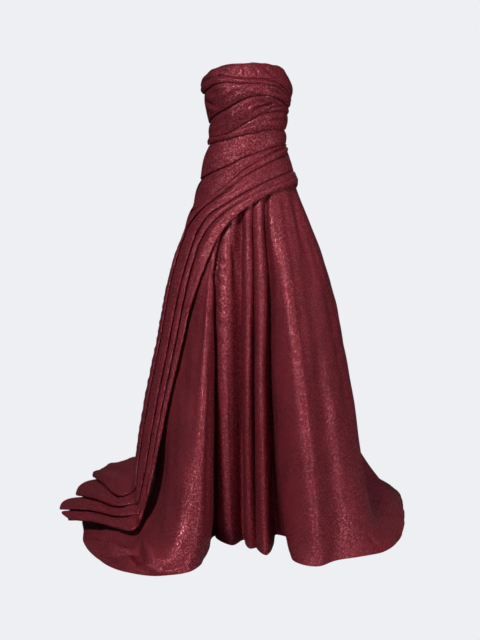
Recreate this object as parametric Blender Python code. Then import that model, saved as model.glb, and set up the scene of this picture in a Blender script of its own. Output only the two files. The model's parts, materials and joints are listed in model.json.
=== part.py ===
"""Strapless bustier gown with a diagonally draped sash, a gathered skirt and a train.

Every piece that a maker would cut is one named object. Heights in the tables are above
the floor; the objects are lowered so that the origin is the centre of the waist, where
the wearer's body holds the gown. -Y is the front and +Z is up. Left and right are as seen
from the front, so right is +X, the wearer's own left.
A bearing is an angle in degrees round the body: 0 at the front, 90 at +X, 180 at the back.
"""

import math
from typing import NamedTuple

import bmesh
import bpy
import numpy as np

# Driving dimensions in metres
WAIST_HEIGHT = 1.200
CLOTH = 0.0015
SEAM_GAP = 0.0003
SEAM_RADIUS = 0.090
HALF_SEAM_DEGREES = math.degrees(0.5 * SEAM_GAP / SEAM_RADIUS)
BODICE_PUFF = 0.0080
BODICE_TUCK = 0.0030
SASH_LIFT = 0.0030
SASH_PUFF = 0.0075
SASH_TUCK = 0.0035
HIDDEN_LIFT = 0.0010
HIDDEN_TUCK = 0.0075
HEM_CLEARANCE = 0.0020
BUST_BEARING = 31.0
BUST_HEIGHT = 1.338
BUST_FULLNESS = 0.006

# How a band between two pleats bulges: its even level, its crown and how fast it rises
BAND_LEVEL = 0.80
BAND_CROWN = 0.20
BAND_SPRING = 0.22
BAND_SHARES = (0.0, 0.24, 0.6, 1.0)
NARROWEST_BAND = 0.004
TUCK_BACKING = 0.85
FOLD_THINNING = 0.75
FOLD_FADES = 0.3
SHALLOWEST_PLEAT = 0.06
EDGE_FOLD = (0.0, 1.0)
LONGEST_BACKING = 0.3
TOP_TUCKED_UP = 0.0025
TURNED_LIFT = 0.0062
TURNED_DROP = 0.0006


class FormSection(NamedTuple):
    """Half sizes of the general figure and of the skirt's smooth outline at one height."""

    height: float
    left: float
    right: float
    front: float
    back: float


FORM = (
    FormSection(0.000, 0.345, 0.360, 0.340, 0.430),
    FormSection(0.100, 0.335, 0.350, 0.330, 0.420),
    FormSection(0.240, 0.318, 0.330, 0.310, 0.390),
    FormSection(0.400, 0.292, 0.305, 0.280, 0.330),
    FormSection(0.590, 0.252, 0.276, 0.235, 0.260),
    FormSection(0.820, 0.206, 0.216, 0.175, 0.185),
    FormSection(0.950, 0.163, 0.176, 0.135, 0.142),
    FormSection(1.000, 0.145, 0.160, 0.121, 0.128),
    FormSection(1.070, 0.127, 0.140, 0.108, 0.110),
    FormSection(1.140, 0.113, 0.114, 0.095, 0.088),
    FormSection(1.200, 0.100, 0.108, 0.092, 0.078),
    FormSection(1.270, 0.106, 0.115, 0.108, 0.083),
    FormSection(1.335, 0.122, 0.126, 0.118, 0.088),
    FormSection(1.385, 0.119, 0.116, 0.106, 0.084),
    FormSection(1.410, 0.116, 0.113, 0.104, 0.082),
)


class Line(NamedTuple):
    """A pleat's edge: heights at seven even bearings, and its depth at both ends and midway."""

    name: str
    heights: tuple
    depths: tuple


FRONT_BEARINGS = (-90, -60, -30, 0, 30, 60, 90)
FRONT_LINES = (
    Line("neck", (1.358, 1.386, 1.399, 1.404, 1.403, 1.396, 1.366), (0.5, 0.5, 0.5)),
    Line("upper fold", (1.340, 1.361, 1.368, 1.360, 1.357, 1.331, 1.304), (0.0, 0.5, 1.0)),
    Line("bust fold", (1.322, 1.334, 1.348, 1.343, 1.341, 1.318, 1.295), (1.0, 0.5, 0.0)),
    Line("underbust fold", (1.236, 1.255, 1.274, 1.304, 1.310, 1.294, 1.279), (0.9, 1.0, 1.0)),
    Line("fan fold", (1.194, 1.196, 1.204, 1.234, 1.263, 1.270, 1.262), (0.1, 1.0, 0.2)),
    Line("waist fold", (1.172, 1.178, 1.187, 1.199, 1.212, 1.217, 1.218), (0.8, 0.7, 0.8)),
    Line("high hip fold", (1.070, 1.085, 1.107, 1.136, 1.158, 1.169, 1.176), (1.0, 1.0, 0.8)),
    Line("sash top", (0.978, 0.995, 1.045, 1.102, 1.138, 1.158, 1.168), (1.0, 1.0, 1.0)),
)
FRONT_SEAM = (0.940, 0.955, 0.990, 1.035, 1.072, 1.088, 1.090)

BACK_BEARINGS = (90, 120, 150, 180, 210, 240, 270)
BACK_LINES = (
    Line("neck", (1.366, 1.354, 1.348, 1.346, 1.347, 1.350, 1.358), (0.5, 0.5, 0.5)),
    Line("bust fold", (1.304, 1.312, 1.318, 1.320, 1.320, 1.321, 1.322), (1.0, 0.0, 1.0)),
    Line("underbust fold", (1.279, 1.270, 1.262, 1.258, 1.252, 1.244, 1.236), (1.0, 0.0, 0.9)),
    Line("waist fold", (1.218, 1.214, 1.208, 1.202, 1.195, 1.184, 1.172), (0.8, 0.0, 0.8)),
    Line("sash top", (1.168, 1.150, 1.132, 1.115, 1.100, 1.085, 1.070), (1.0, 1.0, 1.0)),
)
BACK_SEAM = (1.090, 1.066, 1.030, 1.003, 0.985, 0.965, 0.940)
BACK_SASH_LINES = (
    Line("sash top", (1.168, 1.150, 1.132, 1.115, 1.100, 1.085, 1.070), (1.0, 1.0, 1.0)),
    Line("sash fold", (1.098, 1.082, 1.062, 1.046, 1.035, 1.022, 1.004), (0.9, 0.6, 0.9)),
    Line("sash bottom", (1.061, 1.030, 0.995, 0.972, 0.957, 0.943, 0.930), (1.0, 1.0, 1.0)),
)


class DrapeSection(NamedTuple):
    """Where the five edges of the sash cross one section of it, as (bearing, height) pairs."""

    name: str
    top: tuple
    thin: tuple
    middle: tuple
    lower: tuple
    bottom: tuple


DRAPE = (
    DrapeSection("right seam", (90, 1.168), (90, 1.152), (90, 1.100), (90, 1.080), (90, 1.061)),
    DrapeSection("right front", (60, 1.158), (60, 1.139), (60, 1.091), (60, 1.070), (60, 1.051)),
    DrapeSection("right cup", (30, 1.138), (30, 1.118), (30, 1.072), (30, 1.052), (30, 1.034)),
    DrapeSection("centre", (0, 1.102), (1, 1.084), (2, 1.038), (1, 1.014), (2, 0.992)),
    DrapeSection("left cup", (-30, 1.045), (-28, 1.030), (-22, 1.002), (-20, 0.982), (-15, 0.950)),
    DrapeSection("left front", (-60, 0.995), (-55, 0.982), (-41, 0.968), (-36, 0.940), (-25, 0.905)),
    DrapeSection("hip", (-82, 0.981), (-74, 0.930), (-51, 0.920), (-44, 0.888), (-31, 0.848)),
    DrapeSection("side", (-89, 0.967), (-75, 0.907), (-52, 0.897), (-45, 0.864), (-33, 0.827)),
    DrapeSection("low side", (-89, 0.924), (-75, 0.885), (-53, 0.873), (-46, 0.840), (-34, 0.806)),
    DrapeSection("seat", (-98, 0.870), (-76, 0.862), (-54, 0.850), (-47, 0.815), (-36, 0.785)),
    DrapeSection("thigh", (-102, 0.740), (-77, 0.720), (-58, 0.710), (-50, 0.700), (-42, 0.690)),
    DrapeSection("mid thigh", (-102, 0.600), (-77, 0.595), (-60, 0.590), (-52, 0.590), (-45, 0.590)),
    DrapeSection("knee", (-101, 0.430), (-77, 0.430), (-61, 0.430), (-54, 0.430), (-49, 0.430)),
    DrapeSection("shin", (-99, 0.280), (-76, 0.250), (-63, 0.235), (-57, 0.225), (-54, 0.215)),
    DrapeSection("foot", (-96, 0.215), (-75, 0.165), (-67, 0.130), (-62, 0.110), (-60, 0.100)),
)
DRAPE_DEPTHS = (1.0, 0.9, 1.0, 0.9, 1.0)
LOWER_FOLD_STARTS = 3.0
DRAPE_STEPS = (3, 3, 3, 3, 3, 3, 2, 1, 2, 2, 2, 2, 2, 2)
TAIL_STEPS = 3


class TailSection(NamedTuple):
    """The same five edges where the sash lies spread on the train, as points."""

    name: str
    top: tuple
    thin: tuple
    middle: tuple
    lower: tuple
    bottom: tuple


TAIL = (
    TailSection(
        "turn",
        (-0.335, 0.150, 0.205),
        (-0.362, 0.045, 0.150),
        (-0.358, -0.045, 0.110),
        (-0.350, -0.110, 0.082),
        (-0.345, -0.192, 0.052),
    ),
    TailSection(
        "spread",
        (-0.420, 0.400, 0.135),
        (-0.455, 0.250, 0.100),
        (-0.460, 0.120, 0.080),
        (-0.460, 0.025, 0.066),
        (-0.440, -0.060, 0.048),
    ),
    TailSection(
        "tips",
        (-0.490, 0.600, 0.060),
        (-0.550, 0.500, 0.058),
        (-0.575, 0.275, 0.052),
        (-0.602, 0.110, 0.040),
        (-0.560, 0.035, 0.020),
    ),
)
TIP_NOTCH = 0.055
TIP_PROFILE = (1.0, 0.35, 0.03, 0.18)
TAIL_EDGE_LIFT = 0.003
TAIL_OUT = (-0.15, -0.35, 0.92)
TAIL_PUFF = (0.009, 0.011, 0.010)
TAIL_TUCK = (0.012, 0.024, 0.026)


class Fold(NamedTuple):
    """A ridge or a groove of the skirt: its bearing at the waist seam, then its way down.

    Its places lower down are in millimetres: across and along at the heights below, and with
    a height of their own near the floor.
    """

    name: str
    bearing: float
    thigh: tuple
    knee: tuple
    shin: tuple
    hem: tuple


class Fullness(NamedTuple):
    """How much of a fold has opened at a drop below the waist seam: of a ridge and a groove."""

    drop: float
    ridge: float
    groove: float


THIGH_HEIGHT = 800
KNEE_HEIGHT = 420
MILLIMETRE = 0.001
FRONT_FOLDS = (
    Fold("left seam", -90, (-204, 0), (-280, 0), (-318, 0, 75), (-495, 0, 0)),
    Fold("under the drape", -74, (-193, -50), (-266, -80), (-308, -90, 75), (-482, -125, 0)),
    Fold("drape bed", -57, (-167, -98), (-232, -148), (-275, -185, 75), (-430, -290, 0)),
    Fold("drape edge", -42, (-134, -134), (-204, -192), (-258, -290, 80), (-355, -425, 0)),
    Fold("left panel", -33, (-110, -156), (-160, -300), (-200, -420, 80), (-250, -488, 0)),
    Fold("left crest", -28, (-106, -162), (-122, -332), (-138, -412, 80), (-152, -445, 0)),
    Fold("left flank", -25, (-94, -160), (-99, -290), (-104, -335, 80), (-114, -282, 0)),
    Fold("left groove", -22, (-88, -136), (-87, -182), (-89, -165, 100), (-92, -125, 18)),
    Fold("first ridge", -15, (-50, -174), (-50, -230), (-48, -208, 80), (-43, -168, 2)),
    Fold("dark groove", -7, (-16, -134), (-15, -168), (-12, -155, 80), (-9, -132, 6)),
    Fold("second ridge", 1, (4, -178), (4, -226), (9, -226, 80), (12, -212, 2)),
    Fold("narrow groove", 8, (23, -150), (23, -182), (27, -198, 80), (30, -204, 5)),
    Fold("third ridge", 15, (44, -182), (44, -248), (53, -268, 80), (58, -276, 0)),
    Fold("right groove", 24, (65, -134), (69, -150), (80, -140, 90), (86, -128, 22)),
    Fold("flank foot", 28, (71, -142), (78, -166), (99, -152, 88), (130, -146, 16)),
    Fold("right flank", 34, (84, -172), (91, -228), (110, -272, 80), (129, -318, 0)),
    Fold("right crest", 43, (108, -186), (134, -294), (148, -342, 80), (158, -380, 0)),
    Fold("right panel", 53, (134, -182), (172, -306), (196, -378, 80), (200, -394, 0)),
    Fold("faint valley", 65, (172, -142), (220, -232), (250, -300, 80), (256, -330, 0)),
    Fold("side panel", 76, (212, -104), (270, -180), (322, -245, 80), (330, -288, 0)),
    Fold("side crest", 84, (238, -45), (314, -85), (368, -170, 80), (398, -235, 0)),
    Fold("right seam", 90, (240, 0), (318, 0), (380, -60, 80), (455, -105, 0)),
)
BACK_FOLDS = (
    Fold("side groove", 103, (215, 52), (284, 84), (380, 90, 98), (494, 95, 0)),
    Fold("side train", 116, (205, 110), (234, 180), (456, 274, 128), (516, 300, 0)),
    Fold("train groove", 130, (160, 132), (208, 246), (400, 450, 126), (527, 560, 0)),
    Fold("right train", 143, (136, 178), (206, 345), (318, 640, 115), (472, 800, 0)),
    Fold("inner groove", 155, (88, 168), (140, 348), (212, 680, 75), (350, 940, 0)),
    Fold("inner train", 168, (52, 202), (80, 402), (118, 755, 85), (185, 1025, 0)),
    Fold("back seam", 180, (0, 188), (0, 385), (0, 740, 65), (0, 1055, 0)),
    Fold("left inner train", 193, (-54, 200), (-84, 400), (-120, 750, 90), (-190, 1025, 0)),
    Fold("left groove", 206, (-90, 165), (-140, 340), (-210, 670, 70), (-355, 940, 0)),
    Fold("left train", 219, (-134, 174), (-200, 335), (-305, 610, 100), (-470, 790, 0)),
    Fold("left side groove", 231, (-156, 120), (-228, 230), (-338, 415, 88), (-525, 580, 0)),
    Fold("left side", 244, (-183, 86), (-258, 135), (-325, 210, 75), (-530, 330, 0)),
    Fold("left side seam fold", 257, (-199, 40), (-275, 62), (-320, 80, 75), (-515, 140, 0)),
)
SKIRT_STEPS = (0.0, 0.07, 0.11, 0.16, 0.25, 0.36, 0.48, 0.60, 0.72, 0.82, 0.90, 0.96, 1.0)
SKIRT_COLUMNS_PER_FOLD = 3
SKIRT_STATIONS = (0.0, 0.07, 0.15, 0.34, 0.68, 0.88, 1.0)
FULLNESS = (
    Fullness(0.048, 0.13, 0.50),
    Fullness(0.110, 0.55, 0.88),
)
ROUND_FOLDS = ("left groove", "right groove")
ROUNDNESS = 0.85
TOP_EASING = 0.2
FLOOR_GAP = 0.0004
HEM_ZONE = 0.006
THINNEST_HEM = 0.0008

ZIP_BOTTOM = 1.010
ZIP_HALF_WIDTH = 0.011
ZIP_TAPE = 0.0010
TAPE_BELOW_NECK = 0.006
TAPE_CLEAR_OF_NECK = 0.020
TAPE_ABOVE_TUCK = 0.026
TAPE_BELOW_TUCK = 0.0092
TAPE_RISE = 0.66
SLIDER_SIZE = (0.0080, 0.0024, 0.0110)
SLIDER_BELOW_NECK = 0.014
BAIL_SPAN = 0.0072
BAIL_ROOM = 0.0020
BAIL_THICK = 0.0010
BAIL_WIDE = 0.0012
PULL_LENGTH = 0.022
PULL_WIDTH = 0.0064
PULL_THICK = 0.0009
WINDOW_LENGTH = 0.0058
WINDOW_WIDTH = 0.0032

CLOTH_COLOUR = (0.130, 0.012, 0.024, 1.0)
TAPE_COLOUR = (0.060, 0.008, 0.014, 1.0)
METAL_COLOUR = (0.230, 0.040, 0.055, 1.0)


def smooth(x, knots, values):
    """Cubic curve through the values, with even slopes, held flat past the ends."""
    knots = np.asarray(knots, float)
    values = np.asarray(values, float)
    x = np.clip(np.asarray(x, float), knots[0], knots[-1])
    slopes = np.gradient(values, knots, axis=0)
    i = np.clip(np.searchsorted(knots, x, side="right") - 1, 0, len(knots) - 2)
    step = knots[i + 1] - knots[i]
    t = (x - knots[i]) / step
    if values.ndim > 1:
        shape = np.shape(x) + (1,) * (values.ndim - 1)
        t, step = t.reshape(shape), step.reshape(shape)
    return (
        (2 * t**3 - 3 * t**2 + 1) * values[i]
        + (t**3 - 2 * t**2 + t) * step * slopes[i]
        + (3 * t**2 - 2 * t**3) * values[i + 1]
        + (t**3 - t**2) * step * slopes[i + 1]
    )


def form_halves(bearing, height):
    """Half width and half depth of the smooth outline on the side of a bearing."""
    heights = [section.height for section in FORM]
    sizes = smooth(height, heights, [section[1:] for section in FORM])
    angle = np.radians(bearing)
    half_width = np.where(np.sin(angle) < 0, sizes[..., 0], sizes[..., 1])
    half_depth = np.where(np.cos(angle) > 0, sizes[..., 2], sizes[..., 3])
    return half_width, half_depth


def form_point(bearing, height, out=0.0):
    """A point on the figure or the skirt's smooth outline, moved straight out of it."""
    bearing, height, out = np.broadcast_arrays(bearing, height, out)
    half_width, half_depth = form_halves(bearing, height)
    angle = np.radians(bearing)
    across, along = np.sin(angle), -np.cos(angle)
    from_bust = np.abs((np.abs(bearing) + 180) % 360 - 180) - BUST_BEARING
    fullness = BUST_FULLNESS * np.exp(
        -((from_bust / 17) ** 2) - ((height - BUST_HEIGHT) / 0.036) ** 2
    )
    fullness = np.where(along < 0, fullness, 0.0)
    normal = np.stack([across / half_width, along / half_depth], axis=-1)
    normal /= np.linalg.norm(normal, axis=-1, keepdims=True)
    return np.stack(
        [
            half_width * across + normal[..., 0] * (out + fullness),
            half_depth * along + normal[..., 1] * (out + fullness),
            height,
        ],
        axis=-1,
    )


def band_rise(share, depth_above):
    """How far a band stands out, from its tucked start (share 0) to its lip (share 1)."""
    drop = BAND_LEVEL * depth_above * np.exp(-share / BAND_SPRING)
    return BAND_LEVEL + BAND_CROWN * np.sin(np.pi * share) - drop


def lip_backing(tuck, drop):
    """How far above a lip the cloth's inner face turns, so that the fold keeps its thickness."""
    return CLOTH * (FOLD_THINNING * math.hypot(tuck, drop) + tuck) / drop


def band_rows(edges, depths, place, puff, tuck, lift, hidden_fold=None):
    """Outer and inner rows of a pleated cloth whose bands lie between the given edges.

    edges holds one array of coordinates for each edge, depths one array for each edge, and
    place(coordinates, out) gives points. Each band starts tucked behind the lip above it.
    hidden_fold is the tuck and the drop of a fold below the last edge, where there is one.
    """
    backing = lip_backing(tuck, BAND_LEVEL * puff)
    last_backing = lip_backing(*hidden_fold) if hidden_fold else 0.0
    outer, inner = [], []
    last = len(edges) - 2
    for band in range(len(edges) - 1):
        above, below = edges[band], edges[band + 1]
        width = np.linalg.norm(place(below, 0.0) - place(above, 0.0), axis=-1)
        width = np.maximum(width, NARROWEST_BAND)
        for share in BAND_SHARES:
            rise = lift + puff * band_rise(share, depths[band])
            shift = np.zeros_like(width)
            inner_shift = np.zeros_like(width)
            if share == 0.0 and band > 0:
                shift = -tuck * depths[band] / width
                inner_shift = -TUCK_BACKING * backing * np.clip(depths[band] / FOLD_FADES, 0, 1) / width
            if share == 1.0:
                turn = backing if band < last else last_backing
                inner_shift = -turn * np.clip(depths[band + 1] / FOLD_FADES, 0, 1) / width
                inner_shift = np.maximum(inner_shift, -LONGEST_BACKING)
            for rows, at, out in (
                (outer, share + shift, rise),
                (inner, share + shift + inner_shift, rise - CLOTH),
            ):
                rows.append(place(above + at[..., None] * (below - above), out))
    return outer, inner


def bearing_place(coordinates, out):
    """Points from an array of (bearing, height) pairs."""
    return form_point(coordinates[..., 0], coordinates[..., 1], out)


def line_edge(line, knots, bearings):
    """(bearing, height) pairs of a line, and its depth, at the given bearings."""
    heights = smooth(bearings, knots, line.heights)
    depths = smooth(bearings, (knots[0], (knots[0] + knots[-1]) / 2, knots[-1]), line.depths)
    return np.stack([bearings, heights], axis=-1), np.clip(depths, SHALLOWEST_PLEAT, 1.0)


def seam_inset(bearings):
    """The bearings with half a seam's gap taken off the ends."""
    bearings = np.array(bearings, float)
    bearings[0] += HALF_SEAM_DEGREES
    bearings[-1] -= HALF_SEAM_DEGREES
    return bearings


def seam_height(bearing):
    """Height of the hidden seam where the skirt joins the bodice."""
    knots = FRONT_BEARINGS + BACK_BEARINGS[1:]
    heights = FRONT_SEAM + BACK_SEAM[1:]
    return smooth(bearing, knots, heights)


def bodice_grid(lines, knots, bearings):
    """Outer and inner rows of a bodice piece, with a plain band under the sash."""
    found = [line_edge(line, knots, bearings) for line in lines]
    edges = [edge for edge, _ in found]
    depths = [depth for _, depth in found]
    fold = (HIDDEN_TUCK, BAND_LEVEL * BODICE_PUFF - HIDDEN_LIFT)
    outer, inner = band_rows(edges, depths, bearing_place, BODICE_PUFF, BODICE_TUCK, 0.0, fold)
    top = edges[-1][:, 1]
    bottom = seam_height(bearings) + SEAM_GAP
    start = top + HIDDEN_TUCK
    outer.append(form_point(bearings, start, HIDDEN_LIFT))
    inner_start = start + TUCK_BACKING * lip_backing(*fold)
    inner.append(form_point(bearings, inner_start, HIDDEN_LIFT - CLOTH))
    for share in (0.25, 0.5, 0.75, 1.0):
        height = start + share * (bottom - start)
        outer.append(form_point(bearings, height, HIDDEN_LIFT))
        inner.append(form_point(bearings, height, HIDDEN_LIFT - CLOTH))
    return np.array(outer), np.array(inner)


def turned_edge(edge):
    """The folded lower edge of a sash: a last row that turns in under its lip."""
    lowered = edge - np.array([0.0, TURNED_DROP])
    backing = np.array([0.0, lip_backing(*EDGE_FOLD)])
    return bearing_place(lowered, TURNED_LIFT), bearing_place(lowered + backing, TURNED_LIFT - CLOTH)


def sash_back_grid(bearings):
    """Outer and inner rows of the sash across the back."""
    found = [line_edge(line, BACK_BEARINGS, bearings) for line in BACK_SASH_LINES]
    edges = [edge for edge, _ in found]
    depths = [depth for _, depth in found]
    edges[0] = edges[0] + np.array([0.0, TOP_TUCKED_UP])
    sizes = (SASH_PUFF, SASH_TUCK, SASH_LIFT, EDGE_FOLD)
    outer, inner = band_rows(edges, depths, bearing_place, *sizes)
    for rows, row in zip((outer, inner), turned_edge(edges[-1])):
        rows.append(row)
    return np.array(outer), np.array(inner)


def tail_place(coordinates, out):
    """Points of the spread tail, moved out of the train they lie on."""
    direction = np.array(TAIL_OUT) / np.linalg.norm(TAIL_OUT)
    return coordinates + np.asarray(out).reshape(-1, 1) * direction


def tail_sections():
    """Outer and inner points of each section of the tail, its tips rounded and notched."""
    outer, inner = [], []
    depths = [np.array([value]) for value in DRAPE_DEPTHS]
    for section, puff, tuck in zip(TAIL, TAIL_PUFF, TAIL_TUCK):
        edges = [np.array([point]) for point in section[1:]]
        fronts, backs = band_rows(edges, depths, tail_place, puff, tuck, 0.0, EDGE_FOLD)
        inwards = edges[-2] - edges[-1]
        backing = inwards * lip_backing(*EDGE_FOLD) / np.linalg.norm(inwards)
        fronts.append(tail_place(edges[-1], TAIL_EDGE_LIFT))
        backs.append(tail_place(edges[-1] + backing, TAIL_EDGE_LIFT - CLOTH))
        outer.append(np.array(fronts))
        inner.append(np.array(backs))
    rows = len(outer[-1])
    for row in range(rows):
        place = min(row, rows - 2) % len(TIP_PROFILE)
        outer[-1][row, :, 0] += TIP_NOTCH * TIP_PROFILE[place]
        inner[-1][row, :, 0] += TIP_NOTCH * TIP_PROFILE[place]
    return outer, inner


def drape_grid():
    """Outer and inner rows of the sash that crosses the front and falls to the floor."""
    stations = np.arange(len(DRAPE), dtype=float)
    spans = [np.linspace(i, i + 1, count + 1) for i, count in enumerate(DRAPE_STEPS)]
    along = np.unique(np.concatenate(spans))
    table = np.array([section[1:] for section in DRAPE], float)
    coordinates = smooth(along, stations, table)
    coordinates[0, :, 0] -= HALF_SEAM_DEGREES
    edges = [coordinates[:, i] for i in range(table.shape[1])]
    edges[0] = edges[0] + np.array([0.0, TOP_TUCKED_UP])
    depths = [np.full(len(along), depth) for depth in DRAPE_DEPTHS]
    depths[3] = depths[3] * np.clip(along - LOWER_FOLD_STARTS, 0.0, 1.0)
    sizes = (SASH_PUFF, SASH_TUCK, SASH_LIFT, EDGE_FOLD)
    hung = band_rows(edges, depths, bearing_place, *sizes)
    knots = np.concatenate([along, along[-1] + 1 + np.arange(len(TAIL))])
    tail_along = along[-1] + np.arange(1, TAIL_STEPS * len(TAIL) + 1) / TAIL_STEPS
    fine = np.concatenate([along, tail_along])
    grids = []
    for rows, row, sections in zip(hung, turned_edge(edges[-1]), tail_sections()):
        rows.append(row)
        whole = np.concatenate([np.array(rows)] + sections, axis=1)
        grids.append(np.swapaxes(smooth(fine, knots, np.swapaxes(whole, 0, 1)), 0, 1))
    return grids


def fold_curve(fold, steps):
    """A fold's way down the skirt, from the waist seam to the hem."""
    top_height = float(seam_height(fold.bearing)) - SEAM_GAP
    thigh = np.array((*fold.thigh, THIGH_HEIGHT)) * MILLIMETRE
    halves = np.array(form_halves(fold.bearing, thigh[2]))
    stations = [form_point(fold.bearing, top_height, HIDDEN_LIFT)]
    for level in FULLNESS:
        height = top_height - level.drop
        on_form = form_point(fold.bearing, height)
        across, along = thigh[:2] * np.array(form_halves(fold.bearing, height)) / halves
        is_groove = math.hypot(across, along) < math.hypot(on_form[0], on_form[1])
        opened = level.groove if is_groove else level.ridge
        stations.append(on_form + opened * (np.array((across, along, height)) - on_form))
    hem = np.array(fold.hem) * MILLIMETRE + np.array((0.0, 0.0, HEM_CLEARANCE))
    stations += [
        thigh,
        np.array((*fold.knee, KNEE_HEIGHT)) * MILLIMETRE,
        np.array(fold.shin) * MILLIMETRE,
        hem,
    ]
    points = smooth(steps, SKIRT_STATIONS, stations)
    points[:, 2] = np.maximum(points[:, 2], hem[2])
    return points


def round_gaps(names):
    """For each fold, whether a round pleat runs to the next: 1 from a ridge, -1 from a groove."""
    first, last = (names.index(name) for name in ROUND_FOLDS)
    return [
        (-1 if "groove" in name else 1) if first <= i < last else 0
        for i, name in enumerate(names)
    ]


def round_shares(t, kind):
    """Shares across, along and up of a round pleat's way from one fold to the next."""
    angle = t * math.pi / 2
    if kind < 0:
        return np.array((1 - math.cos(angle), math.sin(angle), t))
    return np.array((math.sin(angle), 1 - math.cos(angle), t))


def ring_through(points, per_gap, kinds):
    """A closed smooth ring through points of shape (ring, row, 3), with its round pleats."""
    count = len(points)
    columns = []
    for i in range(count):
        before, start = points[i - 1], points[i]
        end, after = points[(i + 1) % count], points[(i + 2) % count]
        chord = np.linalg.norm(end - start, axis=-1, keepdims=True) + 1e-9
        chord_before = np.linalg.norm(start - before, axis=-1, keepdims=True) + 1e-9
        chord_after = np.linalg.norm(after - end, axis=-1, keepdims=True) + 1e-9
        slope_start = (end - before) / (chord + chord_before) * chord
        slope_end = (after - start) / (chord + chord_after) * chord
        for k in range(per_gap):
            t = k / per_gap
            column = (
                (2 * t**3 - 3 * t**2 + 1) * start
                + (t**3 - 2 * t**2 + t) * slope_start
                + (3 * t**2 - 2 * t**3) * end
                + (t**3 - t**2) * slope_end
            )
            if kinds[i]:
                pleat = start + (end - start) * round_shares(t, kinds[i])
                column += ROUNDNESS * (pleat - column)
            columns.append(column)
    return np.array(columns)


def skirt_walls(steps, per_gap):
    """Outer and inner points of the whole skirt, of shape (column, row, 3), and its rows."""
    folds = FRONT_FOLDS + BACK_FOLDS
    kinds = round_gaps([fold.name for fold in folds])
    outer = ring_through(np.array([fold_curve(fold, steps) for fold in folds]), per_gap, kinds)
    bearings = [fold.bearing for fold in folds] + [folds[0].bearing + 360]
    bearings = np.interp(np.arange(len(outer)) / per_gap, np.arange(len(bearings)), bearings)
    seam = form_point(bearings, seam_height(bearings) - SEAM_GAP, HIDDEN_LIFT)
    easing = np.clip(1 - steps / TOP_EASING, 0.0, 1.0)
    outer += (seam - outer[:, 0])[:, None, :] * easing[:, None]
    ahead = np.roll(outer, -1, axis=0) - outer
    ahead /= np.linalg.norm(ahead, axis=-1, keepdims=True)
    around = ahead + np.roll(ahead, 1, axis=0)
    down = np.gradient(outer, axis=1)
    normal = np.cross(down, around)
    normal /= np.linalg.norm(normal, axis=-1, keepdims=True)
    normal[:, 0] *= (1, 1, 0)
    normal[:, 0] /= np.linalg.norm(normal[:, 0], axis=-1, keepdims=True)
    inner = outer - CLOTH * normal
    inner[..., 2] = np.maximum(inner[..., 2], FLOOR_GAP)
    thin = (outer[..., 2] - inner[..., 2] < THINNEST_HEM) & (outer[..., 2] < HEM_ZONE)
    outer[..., 2] += np.where(thin, 2 * SEAM_GAP, 0.0)
    return outer, inner


def ring_piece(outer, inner, first, last):
    """Rows of the columns first to last of a ring, with half a seam's gap at each end."""
    count = len(outer)
    index = np.arange(first, last + 1) % count
    pair = []
    for points in (outer, inner):
        piece = points[index].copy()
        for end, beside in ((0, 1), (-1, -2)):
            away = piece[beside] - piece[end]
            away /= np.linalg.norm(away, axis=-1, keepdims=True)
            piece[end] += 0.6 * SEAM_GAP * away
        pair.append(np.swapaxes(piece, 0, 1))
    return pair


def cloth_material(name, colour, roughness, metallic):
    """A Principled material in one plain colour."""
    material = bpy.data.materials.new(name)
    material.use_nodes = True
    shader = material.node_tree.nodes["Principled BSDF"]
    shader.inputs["Base Color"].default_value = colour
    shader.inputs["Roughness"].default_value = roughness
    shader.inputs["Metallic"].default_value = metallic
    return material


def add_object(name, mesh, material):
    """An object at the waist's origin, whose mesh has heights above the floor."""
    mesh.shade_smooth()
    mesh.set_sharp_from_angle(angle=math.radians(50))
    mesh.materials.append(material)
    made = bpy.data.objects.new(name, mesh)
    made.location.z = -WAIST_HEIGHT
    bpy.context.scene.collection.objects.link(made)
    return made


def add_wall(name, grids, material):
    """A closed cloth wall from outer and inner grids of points, joined at their rims.

    Both faces are split along the same diagonals, the outer grid's shorter ones, so that
    they stay a wall's thickness apart where the cloth twists.
    """
    outer, inner = grids
    rows, columns = outer.shape[:2]
    falling = np.linalg.norm(outer[1:, 1:] - outer[:-1, :-1], axis=-1)
    rising = np.linalg.norm(outer[1:, :-1] - outer[:-1, 1:], axis=-1)
    bm = bmesh.new()
    sheets = [
        [[bm.verts.new(point) for point in row] for row in grid] for grid in (outer, inner)
    ]
    for sheet, flip in zip(sheets, (False, True)):
        for i in range(rows - 1):
            for j in range(columns - 1):
                corners = [sheet[i][j], sheet[i + 1][j], sheet[i + 1][j + 1], sheet[i][j + 1]]
                if rising[i, j] < falling[i, j]:
                    corners = corners[1:] + corners[:1]
                for triangle in (corners[:3], corners[2:] + corners[:1]):
                    bm.faces.new(triangle[::-1] if flip else triangle)
    rim = [(0, j) for j in range(columns)] + [(i, columns - 1) for i in range(1, rows)]
    rim += [(rows - 1, j) for j in range(columns - 2, -1, -1)]
    rim += [(i, 0) for i in range(rows - 2, 0, -1)]
    for (i, j), (k, m) in zip(rim, rim[1:] + rim[:1]):
        bm.faces.new((sheets[0][i][j], sheets[0][k][m], sheets[1][k][m], sheets[1][i][j]))
    bmesh.ops.recalc_face_normals(bm, faces=bm.faces[:])
    mesh = bpy.data.meshes.new(name)
    bm.to_mesh(mesh)
    bm.free()
    return add_object(name, mesh, material)


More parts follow.
